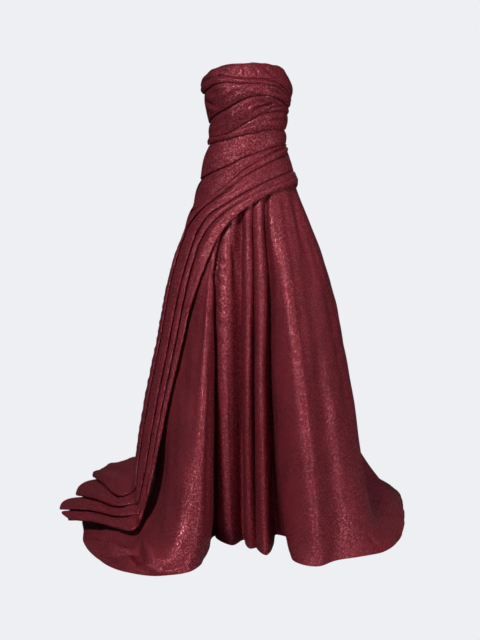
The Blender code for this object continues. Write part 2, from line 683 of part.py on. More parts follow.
def add_prism(name, outline, window, depth, material):
    """A flat plate in the XZ plane, with a window, centred on y = 0."""
    bm = bmesh.new()
    loops = [
        [bm.verts.new((x, y, z)) for x, z in shape]
        for shape in (outline, window)
        for y in (-depth / 2, depth / 2)
    ]
    outer_front, outer_back, inner_front, inner_back = loops
    count = len(outline)
    for a, b in (
        (outer_front, outer_back),
        (inner_back, inner_front),
        (outer_back, inner_back),
        (inner_front, outer_front),
    ):
        for i in range(count):
            j = (i + 1) % count
            bm.faces.new((a[i], a[j], b[j], b[i]))
    bmesh.ops.recalc_face_normals(bm, faces=bm.faces[:])
    mesh = bpy.data.meshes.new(name)
    bm.to_mesh(mesh)
    bm.free()
    return add_object(name, mesh, material)


def rounded_loop(half_width, top, bottom, taper, count):
    """Points round a plate: straight sides, a round top and a round, narrower bottom."""
    points = []
    for i in range(count):
        angle = 2 * math.pi * (i + 0.5) / count
        x = math.copysign(abs(math.sin(angle)) ** 0.5, math.sin(angle))
        z = math.copysign(abs(math.cos(angle)) ** 0.5, math.cos(angle))
        middle, half = (top + bottom) / 2, (top - bottom) / 2
        width = half_width * (1 - taper * (1 - z) / 2)
        points.append((width * x, middle + half * z))
    return points


def back_outer(height):
    """Distance behind the axis of the cloth's face at the centre of the back."""
    bearings = np.array([180.0])
    outer, _ = bodice_grid(BACK_LINES, BACK_BEARINGS, bearings)
    column = outer[: (len(BACK_LINES) - 1) * len(BAND_SHARES), 0]
    order = np.argsort(column[:, 2])
    return float(np.interp(height, column[order, 2], column[order, 1]))


def zip_tape_grid():
    """The tape inside the back, which follows the bodice's inner face down to the hip."""
    half = math.degrees(ZIP_HALF_WIDTH / 0.085)
    bearings = np.linspace(180 - half, 180 + half, 5)
    neck = float(smooth(180, BACK_BEARINGS, BACK_LINES[0].heights))
    tuck = smooth(bearings, BACK_BEARINGS, BACK_LINES[-1].heights)
    start = BODICE_PUFF * BAND_LEVEL * BACK_LINES[0].depths[1] - CLOTH - 2 * SEAM_GAP
    raised = BODICE_PUFF * TAPE_RISE - CLOTH - 2 * SEAM_GAP
    sunk = HIDDEN_LIFT - CLOTH - 3 * SEAM_GAP
    upper = np.linspace(neck - TAPE_CLEAR_OF_NECK, tuck + TAPE_ABOVE_TUCK, 9)
    lower = np.linspace(tuck + TAPE_BELOW_TUCK, ZIP_BOTTOM, 4)
    rows = [(neck - TAPE_BELOW_NECK, start)]
    rows += [(height, raised) for height in upper] + [(height, sunk) for height in lower]
    outer = np.array([form_point(bearings, height, out) for height, out in rows])
    inner = np.array([form_point(bearings, height, out - ZIP_TAPE) for height, out in rows])
    return outer, inner


def add_slider(centre, material):
    """The slider's body with its bail, an arch that stands out of its face."""
    wide, thick, tall = SLIDER_SIZE
    bm = bmesh.new()
    bmesh.ops.create_cube(bm, size=1.0)
    bmesh.ops.scale(bm, vec=(wide, thick, tall), verts=bm.verts[:])
    bmesh.ops.bevel(
        bm, geom=bm.edges[:], offset=0.0006, segments=2, affect="EDGES", profile=0.5
    )
    mesh = bpy.data.meshes.new("zip_slider")
    bm.to_mesh(mesh)
    bm.free()
    body = add_object("zip_slider", mesh, material)
    body.location = (centre[0], centre[1], centre[2] - WAIST_HEIGHT)

    bm = bmesh.new()
    face = thick / 2
    rise = BAIL_ROOM + BAIL_THICK
    sections = []
    for i in range(9):
        angle = math.pi * i / 8
        ring = []
        for inward in (0.0, BAIL_THICK):
            reach = BAIL_SPAN / 2 - inward
            z = reach * math.cos(angle)
            y = face - 0.0006 + (rise + 0.0006 - inward) * min(1.0, 1.5 * math.sin(angle))
            ring.append((y, z))
        (y_out, z_out), (y_in, z_in) = ring
        half = BAIL_WIDE / 2
        corners = ((-half, y_out, z_out), (half, y_out, z_out), (half, y_in, z_in), (-half, y_in, z_in))
        sections.append([bm.verts.new(corner) for corner in corners])
    for a, b in zip(sections, sections[1:]):
        for i in range(4):
            j = (i + 1) % 4
            bm.faces.new((a[i], a[j], b[j], b[i]))
    bm.faces.new(sections[0])
    bm.faces.new(sections[-1])
    bmesh.ops.recalc_face_normals(bm, faces=bm.faces[:])
    mesh = bpy.data.meshes.new("zip_bail")
    bm.to_mesh(mesh)
    bm.free()
    bail = add_object("zip_bail", mesh, material)
    bail.location = body.location
    bail.hide_render = True
    bail.display_type = "WIRE"
    union = body.modifiers.new("bail", "BOOLEAN")
    union.operation = "UNION"
    union.object = bail
    return body


def add_pull(pivot, material):
    """The pull tab, hung by the bar at its top under the slider's bail."""
    bar = PULL_THICK
    outline = rounded_loop(PULL_WIDTH / 2, bar / 2, -PULL_LENGTH, 0.35, 20)
    window = rounded_loop(WINDOW_WIDTH / 2, -bar / 2, -bar / 2 - WINDOW_LENGTH, 0.0, 20)
    pull = add_prism("zip_pull", outline, window, PULL_THICK, material)
    pull.location = (pivot[0], pivot[1], pivot[2] - WAIST_HEIGHT)
    return pull


def add_zip(material_tape, material_metal):
    """The concealed zip: its tape inside, its slider and its pull tab outside."""
    add_wall("zip_tape", zip_tape_grid(), material_tape)
    neck = float(smooth(180, BACK_BEARINGS, BACK_LINES[0].heights))
    height = neck - SLIDER_BELOW_NECK
    thick = SLIDER_SIZE[1]
    seat = max(back_outer(height + 0.005), back_outer(height), back_outer(height - 0.005))
    centre = (0.0, seat + SEAM_GAP + thick / 2, height)
    add_slider(centre, material_metal)
    pivot = (0.0, centre[1] + thick / 2 + BAIL_ROOM / 2, height)
    add_pull(pivot, material_metal)


def main():
    """Clear the scene and build every piece of the gown."""
    for made in list(bpy.data.objects):
        bpy.data.objects.remove(made, do_unlink=True)
    fabric = cloth_material("burgundy metallic weave", CLOTH_COLOUR, 0.45, 0.35)
    tape = cloth_material("zip tape", TAPE_COLOUR, 0.80, 0.0)
    metal = cloth_material("lacquered metal", METAL_COLOUR, 0.30, 0.9)

    front = seam_inset(np.linspace(-90, 90, 21))
    back_right = seam_inset(np.linspace(90, 180, 10))
    back_left = seam_inset(np.linspace(180, 270, 10))
    add_wall("bodice_front", bodice_grid(FRONT_LINES, FRONT_BEARINGS, front), fabric)
    for name, bearings in (("right", back_right), ("left", back_left)):
        add_wall(
            f"bodice_back_{name}",
            bodice_grid(BACK_LINES, BACK_BEARINGS, bearings),
            fabric,
        )
        add_wall(f"sash_back_{name}", sash_back_grid(bearings), fabric)
    add_wall("sash_drape", drape_grid(), fabric)

    outer, inner = skirt_walls(np.array(SKIRT_STEPS), SKIRT_COLUMNS_PER_FOLD)
    names = [fold.name for fold in FRONT_FOLDS + BACK_FOLDS]
    right_seam = names.index("right seam") * SKIRT_COLUMNS_PER_FOLD
    back_seam = names.index("back seam") * SKIRT_COLUMNS_PER_FOLD
    add_wall("skirt_front", ring_piece(outer, inner, 0, right_seam), fabric)
    add_wall("skirt_back_right", ring_piece(outer, inner, right_seam, back_seam), fabric)
    add_wall("skirt_back_left", ring_piece(outer, inner, back_seam, len(outer)), fabric)
    add_zip(tape, metal)


main()
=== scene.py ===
"""The looks of a strapless bustier gown with a draped sash, a gathered skirt and a train.

Each cloth piece is made again from much the same sizes as the solid that it dresses, with
many more points, fuller rolled pleats and the creases of real cloth. Heights in the tables
are above the floor, and a bearing is an angle in degrees round the body: 0 at the front, 90
at +X, 180 at the back. Left and right are as seen from the front.
"""

import json
import logging
import math
from collections.abc import Callable, Sequence
from dataclasses import dataclass
from enum import Enum
from typing import NamedTuple

import bpy
import numpy as np
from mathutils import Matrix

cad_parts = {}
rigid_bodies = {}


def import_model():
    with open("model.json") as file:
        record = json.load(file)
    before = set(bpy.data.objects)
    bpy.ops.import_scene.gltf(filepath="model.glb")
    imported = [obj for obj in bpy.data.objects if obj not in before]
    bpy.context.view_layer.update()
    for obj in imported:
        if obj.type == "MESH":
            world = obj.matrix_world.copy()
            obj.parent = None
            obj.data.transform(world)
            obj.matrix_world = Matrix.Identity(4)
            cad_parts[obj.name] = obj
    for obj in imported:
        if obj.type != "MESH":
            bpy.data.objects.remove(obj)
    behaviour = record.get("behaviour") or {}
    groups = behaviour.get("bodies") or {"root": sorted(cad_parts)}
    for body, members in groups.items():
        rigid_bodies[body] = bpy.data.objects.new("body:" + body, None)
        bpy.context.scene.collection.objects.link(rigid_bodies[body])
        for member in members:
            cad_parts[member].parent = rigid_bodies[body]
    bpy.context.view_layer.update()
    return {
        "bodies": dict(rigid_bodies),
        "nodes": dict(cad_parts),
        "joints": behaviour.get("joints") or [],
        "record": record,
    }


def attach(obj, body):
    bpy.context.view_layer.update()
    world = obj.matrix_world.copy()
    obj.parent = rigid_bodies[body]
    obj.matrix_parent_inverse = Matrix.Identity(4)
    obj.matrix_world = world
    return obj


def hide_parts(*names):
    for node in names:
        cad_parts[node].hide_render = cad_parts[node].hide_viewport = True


LOG = logging.getLogger("gown")

WAIST_HEIGHT = 1.200
CLOTH = 0.0013
SEAM_GAP = 0.0003
SEAM_RADIUS = 0.090
HALF_SEAM_DEGREES = math.degrees(0.5 * SEAM_GAP / SEAM_RADIUS)
HIDDEN_LIFT = 0.0010
MILLIMETRE = 0.001
CUT_MAP = "cut"
SLIMMEST_CUT = 0.35
SMOOTH_ANGLE = 55
WAVE_SCALE = 0.314
SWAY_PHASE = 40
SWAY_EASE_DEGREES = 12
SWAY_DEGREES = (7.3, 3.4)
SHORT_SWAY_SHARE = 0.6

Colour = tuple[float, float, float, float]
Place = Callable[[np.ndarray, np.ndarray], np.ndarray]


def between(
    t: np.ndarray, start: np.ndarray, start_slope: np.ndarray, end: np.ndarray, end_slope: np.ndarray
) -> np.ndarray:
    """Cubic curve from a start to an end that leaves and arrives at the given slopes.

    Args:
        t: Shares of the way.
        start: Value at the start.
        start_slope: Slope there, for the whole way.
        end: Value at the end.
        end_slope: Slope there, for the whole way.

    Returns:
        The values at t.
    """
    return (
        (2 * t**3 - 3 * t**2 + 1) * start
        + (t**3 - 2 * t**2 + t) * start_slope
        + (3 * t**2 - 2 * t**3) * end
        + (t**3 - t**2) * end_slope
    )


def smooth(x: np.ndarray, knots: Sequence[float], values: Sequence) -> np.ndarray:
    """Cubic curve through the values, with even slopes, held flat past the ends.

    Args:
        x: Where to read the curve.
        knots: Rising places of the values.
        values: A value, or a row of values, for each knot.

    Returns:
        The curve's values, of the shape of x and then of one value.
    """
    knots = np.asarray(knots, float)
    values = np.asarray(values, float)
    x = np.clip(np.asarray(x, float), knots[0], knots[-1])
    slopes = np.gradient(values, knots, axis=0)
    i = np.clip(np.searchsorted(knots, x, side="right") - 1, 0, len(knots) - 2)
    step = knots[i + 1] - knots[i]
    t = (x - knots[i]) / step
    if values.ndim > 1:
        shape = np.shape(x) + (1,) * (values.ndim - 1)
        t, step = t.reshape(shape), step.reshape(shape)
    return between(t, values[i], step * slopes[i], values[i + 1], step * slopes[i + 1])


class FormSection(NamedTuple):
    """Half sizes of the figure and of the skirt's smooth outline at one height."""

    height: float
    left: float
    right: float
    front: float
    back: float


@dataclass(frozen=True)
class Form:
    """The general figure down to the hip, and the skirt's smooth outline below it."""

    bust_bearing: float = 31.0
    bust_height: float = 1.338
    bust_fullness: float = 0.006
    bust_spread: tuple[float, float] = (17.0, 0.036)
    sections: tuple[FormSection, ...] = (
        FormSection(0.000, 0.345, 0.360, 0.340, 0.430),
        FormSection(0.100, 0.335, 0.350, 0.330, 0.420),
        FormSection(0.240, 0.318, 0.330, 0.310, 0.390),
        FormSection(0.400, 0.292, 0.305, 0.280, 0.330),
        FormSection(0.590, 0.252, 0.276, 0.235, 0.260),
        FormSection(0.820, 0.206, 0.216, 0.175, 0.185),
        FormSection(0.950, 0.163, 0.176, 0.135, 0.142),
        FormSection(1.000, 0.145, 0.160, 0.121, 0.128),
        FormSection(1.070, 0.127, 0.140, 0.108, 0.110),
        FormSection(1.140, 0.113, 0.114, 0.095, 0.088),
        FormSection(1.200, 0.100, 0.108, 0.092, 0.078),
        FormSection(1.270, 0.106, 0.115, 0.108, 0.083),
        FormSection(1.335, 0.122, 0.126, 0.118, 0.088),
        FormSection(1.385, 0.119, 0.116, 0.106, 0.084),
        FormSection(1.410, 0.116, 0.113, 0.104, 0.082),
    )

    def halves(self, bearing: np.ndarray, height: np.ndarray) -> tuple[np.ndarray, np.ndarray]:
        """Half width and half depth on the side of a bearing.

        Args:
            bearing: Angles round the body, in degrees.
            height: Heights above the floor.

        Returns:
            The half width and the half depth at each height.
        """
        heights = [section.height for section in self.sections]
        sizes = smooth(height, heights, [section[1:] for section in self.sections])
        angle = np.radians(bearing)
        half_width = np.where(np.sin(angle) < 0, sizes[..., 0], sizes[..., 1])
        half_depth = np.where(np.cos(angle) > 0, sizes[..., 2], sizes[..., 3])
        return half_width, half_depth

    def point(self, bearing: np.ndarray, height: np.ndarray, out: np.ndarray = 0.0) -> np.ndarray:
        """Points of the form, moved straight out of it.

        Args:
            bearing: Angles round the body, in degrees.
            height: Heights above the floor.
            out: Distances out of the form.

        Returns:
            Points with heights above the floor.
        """
        bearing, height, out = np.broadcast_arrays(bearing, height, out)
        half_width, half_depth = self.halves(bearing, height)
        angle = np.radians(bearing)
        across, along = np.sin(angle), -np.cos(angle)
        from_bust = np.abs((np.abs(bearing) + 180) % 360 - 180) - self.bust_bearing
        round_bust, down_bust = self.bust_spread
        fullness = self.bust_fullness * np.exp(
            -((from_bust / round_bust) ** 2) - ((height - self.bust_height) / down_bust) ** 2
        )
        stands = out + np.where(along < 0, fullness, 0.0)
        normal = np.stack([across / half_width, along / half_depth], axis=-1)
        normal /= np.linalg.norm(normal, axis=-1, keepdims=True)
        x = half_width * across + normal[..., 0] * stands
        y = half_depth * along + normal[..., 1] * stands
        return np.stack([x, y, height], axis=-1)

    def place(self, coordinates: np.ndarray, out: np.ndarray) -> np.ndarray:
        """Points of the form from (bearing, height) pairs, moved out of it."""
        return self.point(coordinates[..., 0], coordinates[..., 1], out)


FORM = Form()


@dataclass(frozen=True)
class Pleating:
    """How pleated cloth stands out: the puff of its bands, their tucks and rolled lips."""

    puff: float
    tuck: float
    lift: float = 0.0
    level: float = 0.80
    crown: float = 0.20
    spring: float = 0.22
    lip: float = 0.0022
    turned: float = 0.005
    tuck_fades: float = 0.15
    narrowest: float = 0.004
    widest_lip: float = 0.3
    shares: int = 12
    crowding: float = 1.15

    def rise(self, share: float, depth_above: np.ndarray) -> np.ndarray:
        """How far a band stands out, as a share of the puff.

        Args:
            share: Place across the band, 0 at its tucked start and 1 at its lip.
            depth_above: Depth of the pleat that the band starts from.

        Returns:
            The rise for each column.
        """
        drop = self.level * depth_above * np.exp(-share / self.spring)
        return self.level + self.crown * np.sin(np.pi * share) - drop

    def rows(
        self,
        edges: Sequence[np.ndarray],
        depths: Sequence[np.ndarray],
        place: Place,
        rolled_top: bool = False,
        turned_bottom: bool = False,
    ) -> tuple[list[np.ndarray], list[float]]:
        """Rows of points down a pleated cloth.

        Args:
            edges: Coordinates of each pleat's edge, top to bottom.
            depths: Depth of each of those pleats, 0 where it fades out.
            place: Gives points from coordinates and distances out.
            rolled_top: Rolls the cloth in over its top edge.
            turned_bottom: Turns the cloth in behind its bottom edge.

        Returns:
            The rows, and for each the band's number plus its share down the band.
        """
        rows, places = [], []

        def add(band: int, at: np.ndarray, out: np.ndarray, share: float) -> None:
            """Adds one row of points at a share of a band."""
            above, below = edges[band], edges[band + 1]
            rows.append(place(above + at[..., None] * (below - above), out))
            places.append(band + share)

        last = len(edges) - 2
        for band in range(last + 1):
            ends = [place(edges[band + i], np.zeros(edges[band].shape[:-1])) for i in (0, 1)]
            width = np.maximum(np.linalg.norm(ends[1] - ends[0], axis=-1), self.narrowest)
            shift = self.tuck * depths[band] / width if band else np.zeros_like(width)
            radius = np.clip(self.lip * depths[band + 1], SEAM_GAP, self.widest_lip * width) / width
            top_radius = self.lip / width if rolled_top and band == 0 else np.zeros_like(width)
            start = self.lift + self.puff * self.rise(0.0, depths[band])
            if rolled_top and band == 0:
                for angle in np.radians((-90, -60, -30, 0, 30, 60)):
                    drop = self.lip * (1 - math.sin(angle))
                    add(band, top_radius * (1 - math.cos(angle)), start - drop, 0.0)
            for share in np.linspace(0, 1, self.shares) ** self.crowding:
                fading = np.maximum(0.0, 1 - share / self.tuck_fades)
                at = top_radius + share * (1 - radius - top_radius) - shift * fading
                add(band, at, self.lift + self.puff * self.rise(share, depths[band]), 0.96 * share)
            crest = self.lift + self.puff * self.rise(1.0, depths[band])
            for angle in np.radians((60, 30, 0, -30, -60, -90)):
                at = 1 - radius * (1 - math.cos(angle))
                out = crest - radius * width * (1 - math.sin(angle))
                add(band, at, out, 0.98 - angle / 100)
            if turned_bottom and band == last:
                add(band, 1 - self.turned / width, crest - 2 * radius * width, 0.999)
        return rows, places


class Crease(NamedTuple):
    """A soft trough or ridge through three places of a piece, in its own coordinates.

    A place is a column's coordinate and a row's. Width and depth are in millimetres, and
    the depth is below zero in a trough.
    """

    name: str
    start: tuple[float, float]
    middle: tuple[float, float]
    end: tuple[float, float]
    width: float
    depth: float


class Wave(NamedTuple):
    """A long shallow wave over the flat cloth: its lengths each way, height and phase."""

    across: float
    down: float
    height: float
    phase: float


@dataclass
class ClothGrid:
    """Points of a cloth piece, row by row, with the coordinates of its columns and rows."""

    points: np.ndarray
    columns: np.ndarray
    rows: np.ndarray
    seam_ease: float = 0.025
    crease_points: int = 22
    crease_ends: tuple[float, float] = (0.03, 0.97)
    crease_fade: float = 0.7
    crease_brim: float = 0.35

    def normals(self) -> np.ndarray:
        """Unit vectors out of the cloth's face at each point."""
        across = np.gradient(self.points, axis=1)
        down = np.gradient(self.points, axis=0)
        normal = np.cross(down, across)
        length = np.linalg.norm(normal, axis=-1, keepdims=True)
        return normal / np.maximum(length, 1e-12)

    def cut(self) -> np.ndarray:
        """Where each point lies on the flat cloth before it was pleated, in metres."""
        across = np.linalg.norm(np.diff(self.points, axis=1), axis=-1)
        down = np.linalg.norm(np.diff(self.points, axis=0), axis=-1)
        u = np.concatenate([np.zeros((len(across), 1)), np.cumsum(across, axis=1)], axis=1)
        u -= u[:, [u.shape[1] // 2]]
        v = np.concatenate([np.zeros((1, down.shape[1])), np.cumsum(down, axis=0)], axis=0)
        return np.stack([u, -v], axis=-1)

    def flat(self) -> tuple[float, float, float]:
        """Width, length and area of the cut, in metres, laid straight where it curves."""
        cut = self.cut()
        width = float((cut[:, -1, 0] - cut[:, 0, 0]).max())
        length = float(-cut[..., 1].min())
        along = np.diff(self.points, axis=1)[:-1]
        down = np.diff(self.points, axis=0)[:, :-1]
        area = float(np.linalg.norm(np.cross(along, down), axis=-1).sum())
        length = min(length, area / (SLIMMEST_CUT * width))
        return width, length, min(area, width * length)

    def read(self, columns: np.ndarray, rows: np.ndarray) -> np.ndarray:
        """Points of the piece at the given coordinates, between its own points."""
        order = np.argsort(self.columns)
        u = np.interp(columns, self.columns[order], order)
        v = np.interp(rows, self.rows, np.arange(len(self.rows)))
        i = np.minimum(u.astype(int), len(self.columns) - 2)
        j = np.minimum(v.astype(int), len(self.rows) - 2)
        s, t = (u - i)[:, None], (v - j)[:, None]
        upper = self.points[j, i] * (1 - s) + self.points[j, i + 1] * s
        lower = self.points[j + 1, i] * (1 - s) + self.points[j + 1, i + 1] * s
        return upper * (1 - t) + lower * t

    def crease(self, creases: Sequence[Crease], waves: Sequence[Wave] = ()) -> None:
        """Moves the points in and out for the creases and the long waves.

        Args:
            creases: The creases laid on the piece.
            waves: The waves that run over the whole piece.
        """
        offset = np.zeros(self.points.shape[:2])
        t = np.linspace(0, 1, self.crease_points)[:, None]
        for crease in creases:
            start, middle, end = (np.array(place, float) for place in crease[1:4])
            control = 2 * middle - (start + end) / 2
            path = (1 - t) ** 2 * start + 2 * t * (1 - t) * control + t**2 * end
            line = self.read(path[:, 0], path[:, 1])
            fade = np.sin(np.pi * np.clip(t[:, 0], *self.crease_ends)) ** self.crease_fade
            gap = np.linalg.norm(self.points[:, :, None, :] - line, axis=-1)
            across = gap / (crease.width * MILLIMETRE)
            shape = fade * np.exp(-(across**2)) * (1 - self.crease_brim * across**2)
            strongest = np.abs(shape).argmax(axis=-1)[..., None]
            offset += crease.depth * MILLIMETRE * np.take_along_axis(shape, strongest, -1)[..., 0]
        cut = self.cut()
        for wave in waves:
            turn = cut[..., 0] / wave.across + cut[..., 1] / wave.down + wave.phase
            offset += wave.height * MILLIMETRE * np.sin(2 * np.pi * turn)
        across = np.linalg.norm(np.diff(self.points, axis=1), axis=-1)
        from_start = np.pad(np.cumsum(across, axis=1), ((0, 0), (1, 0)))
        to_seam = np.minimum(from_start, from_start[:, -1:] - from_start)
        offset *= np.clip(to_seam / self.seam_ease, 0.0, 1.0)
        self.points = self.points + offset[..., None] * self.normals()


class Nodes:
    """The shader nodes of one material, added and joined by name."""

    def __init__(self, name: str) -> None:
        """Starts a material with its Principled shader."""
        self.material = bpy.data.materials.new(name)
        self.material.use_nodes = True
        self.tree = self.material.node_tree
        self.shader = self.tree.nodes["Principled BSDF"]

    def add(self, kind: str, inputs: dict | None = None, **settings: object) -> bpy.types.Node:
        """Adds a node.

        Args:
            kind: The node's type, without its ShaderNode prefix.
            inputs: Values or output sockets for the node's inputs, by name or number.
            settings: Values of the node's own properties.

        Returns:
            The node.
        """
        node = self.tree.nodes.new("ShaderNode" + kind)
        for name, value in settings.items():
            setattr(node, name, value)
        for key, value in (inputs or {}).items():
            self.give(node.inputs[key], value)
        return node

    def give(self, socket: bpy.types.NodeSocket, value: object) -> None:
        """Sets an input to a value, or joins it to an output."""
        if isinstance(value, bpy.types.NodeSocket):
            self.tree.links.new(value, socket)
        else:
            socket.default_value = value

    def ramp(self, value: object, low: float, high: float, to_low: float, to_high: float) -> object:
        """An output that runs smoothly from one value to another as its input rises."""
        inputs = {"Value": value, 1: low, 2: high, 3: to_low, 4: to_high}
        return self.add("MapRange", inputs, interpolation_type="SMOOTHSTEP").outputs[0]

    def blend(self, share: object, a: object, b: object) -> object:
        """A colour between two, by a share."""
        node = self.add("Mix", data_type="RGBA")
        for socket, value in zip((node.inputs[0], node.inputs[6], node.inputs[7]), (share, a, b)):
            self.give(socket, value)
        return node.outputs[2]

    def sum(self, a: object, b: object, by: float) -> object:
        """The first value plus the second times a number."""
        return self.add("Math", {0: b, 1: by, 2: a}, operation="MULTIPLY_ADD").outputs[0]


@dataclass(frozen=True)
class MetallicWeave:
    """Burgundy cloth with a crinkled metal yarn that glints on the crests of the folds."""

    name: str
    ground: Colour = (0.140, 0.0070, 0.0138, 1.0)
    yarn: Colour = (0.430, 0.130, 0.160, 1.0)
    yarn_size: float = 0.0038
    yarn_width: tuple[float, float] = (0.024, 0.066)
    cluster: float = 0.007
    clustered: tuple[float, float] = (0.40, 0.62)
    metallic: tuple[float, float] = (0.12, 0.95)
    roughness: tuple[float, float] = (0.60, 0.40)
    bump: float = 0.00014
    thread: float = 0.0009
    patch: float = 0.090
    thread_relief: float = 0.12
    worn_shades: tuple[float, float] = (0.85, 1.12)
    specular: float = 0.05

    def material(self) -> bpy.types.Material:
        """Builds the material on the piece's cut coordinates."""
        nodes = Nodes(self.name)
        cut = nodes.add("UVMap", uv_map=CUT_MAP).outputs[0]
        noise = {"Vector": cut, "Scale": 1 / self.yarn_size, "Detail": 1.5, "Distortion": 0.8}
        squiggle = nodes.add("TexNoise", noise).outputs[0]
        clumps = {"Vector": cut, "Scale": 1 / self.cluster, "Detail": 1.0}
        clump = nodes.ramp(nodes.add("TexNoise", clumps).outputs[0], *self.clustered, 0.25, 1.0)
        patches = {"Vector": cut, "Scale": 1 / self.patch, "Detail": 2.0}
        patch = nodes.add("TexNoise", patches).outputs[0]
        off_line = nodes.add("Math", {0: squiggle, 1: 0.5}, operation="SUBTRACT").outputs[0]
        off_line = nodes.add("Math", {0: off_line}, operation="ABSOLUTE").outputs[0]
        line = nodes.ramp(off_line, *self.yarn_width, 1.0, 0.0)
        yarn = nodes.add("Math", {0: line, 1: clump}, operation="MULTIPLY").outputs[0]
        threads = []
        for direction in ("X", "Y"):
            wave = {"Vector": cut, "Scale": WAVE_SCALE / self.thread, "Distortion": 0.6}
            threads.append(nodes.add("TexWave", wave, bands_direction=direction).outputs[1])
        worn = nodes.ramp(patch, 0.3, 0.7, 0.0, 1.0)
        ground = nodes.blend(worn, *(self.shade(by) for by in self.worn_shades))
        nodes.give(nodes.shader.inputs["Base Color"], nodes.blend(yarn, ground, self.yarn))
        nodes.give(nodes.shader.inputs["Metallic"], nodes.ramp(yarn, 0.0, 1.0, *self.metallic))
        nodes.give(nodes.shader.inputs["Roughness"], nodes.ramp(yarn, 0.0, 1.0, *self.roughness))
        height = yarn
        for thread in threads:
            height = nodes.sum(height, thread, self.thread_relief)
        bump = {"Height": height, "Strength": 1.0, "Distance": self.bump}
        nodes.give(nodes.shader.inputs["Normal"], nodes.add("Bump", bump).outputs[0])
        nodes.shader.inputs["Specular IOR Level"].default_value = self.specular
        return nodes.material

    def shade(self, by: float) -> Colour:
        """The ground colour made lighter or darker."""
        red, green, blue, alpha = self.ground
        return (red * by, green * by, blue * by, alpha)


@dataclass(frozen=True)
class PlainFinish:
    """A dyed or lacquered surface with a fine grain."""

    name: str
    colour: Colour
    metallic: float
    roughness: float
    grain: float
    relief: float

    def material(self) -> bpy.types.Material:
        """Builds the material on object coordinates."""
        nodes = Nodes(self.name)
        place = nodes.add("TexCoord").outputs["Object"]
        noise = {"Vector": place, "Scale": 1 / self.grain, "Detail": 3.0}
        grain = nodes.add("TexNoise", noise).outputs[0]
        dark = tuple(0.7 * value for value in self.colour[:3]) + (1.0,)
        tint = nodes.blend(nodes.ramp(grain, 0.35, 0.65, 0.0, 1.0), dark, self.colour)
        nodes.give(nodes.shader.inputs["Base Color"], tint)
        rough = nodes.ramp(grain, 0.3, 0.7, self.roughness * 0.85, self.roughness * 1.15)
        nodes.give(nodes.shader.inputs["Roughness"], rough)
        nodes.shader.inputs["Metallic"].default_value = self.metallic
        bump = {"Height": grain, "Strength": 0.8, "Distance": self.relief}
        nodes.give(nodes.shader.inputs["Normal"], nodes.add("Bump", bump).outputs[0])
        return nodes.material


class Finishes:
    """The gown's materials, each built once."""

    def __init__(self) -> None:
        """Builds the right and wrong side of the cloth, the zip's tape and its metal."""
        self.cloth = MetallicWeave("burgundy metallic weave").material()
        self.wrong_side = MetallicWeave(
            "burgundy weave wrong side",
            ground=(0.070, 0.005, 0.010, 1.0),
            yarn=(0.160, 0.030, 0.045, 1.0),
            metallic=(0.0, 0.35),
            roughness=(0.75, 0.60),
            bump=0.0003,
        ).material()
        tape = PlainFinish("zip tape", (0.060, 0.008, 0.014, 1.0), 0.0, 0.8, 0.0006, 0.0001)
        metal = PlainFinish("lacquered metal", (0.230, 0.040, 0.055, 1.0), 0.9, 0.3, 0.004, 0.00003)
        self.tape = tape.material()
        self.metal = metal.material()


def deselect() -> None:
    """Leaves nothing selected, so that an operator acts on one piece alone."""
    bpy.ops.object.select_all(action="DESELECT")


@dataclass
class ClothPiece:
    """One cut piece of cloth: its grid, the node that it dresses and how it is held."""

    node: str
    grid: ClothGrid
    held: str
    rests_on: tuple[str, ...] = ()

    def build(self, finishes: Finishes) -> bpy.types.Object:
        """Models the piece as a grid, shapes it, thickens it and dresses it.

        Args:
            finishes: The gown's materials.

        Returns:
            The finished piece.
        """
        rows, columns = self.grid.points.shape[:2]
        deselect()
        bpy.ops.mesh.primitive_grid_add(
            x_subdivisions=columns - 1, y_subdivisions=rows - 1, size=2.0, calc_uvs=True
        )
        piece = bpy.context.object
        piece.name = self.node + "_cloth"
        mesh = piece.data
        mesh.name = piece.name
        flat = np.empty(len(mesh.vertices) * 3)
        mesh.vertices.foreach_get("co", flat)
        flat = flat.reshape(-1, 3)
        column = np.rint((1 + flat[:, 0]) / 2 * (columns - 1)).astype(int)
        row = np.rint((1 - flat[:, 1]) / 2 * (rows - 1)).astype(int)
        places = self.grid.points[row, column] - np.array((0.0, 0.0, WAIST_HEIGHT))
        mesh.vertices.foreach_set("co", places.ravel())
        corner = np.empty(len(mesh.loops), int)
        mesh.loops.foreach_get("vertex_index", corner)
        layer = mesh.uv_layers[0]
        layer.name = CUT_MAP
        layer.uv.foreach_set("vector", self.grid.cut()[row, column][corner].ravel())
        mesh.update()
        mesh.materials.append(finishes.cloth)
        mesh.materials.append(finishes.wrong_side)
        bpy.ops.object.modifier_add(type="SOLIDIFY")
        wall = piece.modifiers[-1]
        wall.thickness = CLOTH
        wall.offset = -1.0
        wall.material_offset = 1
        wall.material_offset_rim = 0
        bpy.ops.object.modifier_apply(modifier=wall.name)
        bpy.ops.object.shade_smooth_by_angle(angle=math.radians(SMOOTH_ANGLE))
        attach(piece, "gown")
        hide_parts(self.node)
        width, length, area = self.grid.flat()
        list(self.rests_on)
        faces = len(piece.data.polygons)
        LOG.info("%s: %d faces, cut %.3f x %.3f m, %.3f m2", piece.name, faces, width, length, area)
        return piece


class Line(NamedTuple):
    """A pleat's edge: heights at seven even bearings, and its depth at both ends and midway."""

    name: str
    heights: tuple[float, ...]
    depths: tuple[float, float, float]


class Side(Enum):
    """A half of the back, by its first and last bearing."""

    RIGHT = (90.0, 180.0)
    LEFT = (180.0, 270.0)

    @property
    def label(self) -> str:
        """The half's name as the nodes spell it."""
        return self.name.lower()


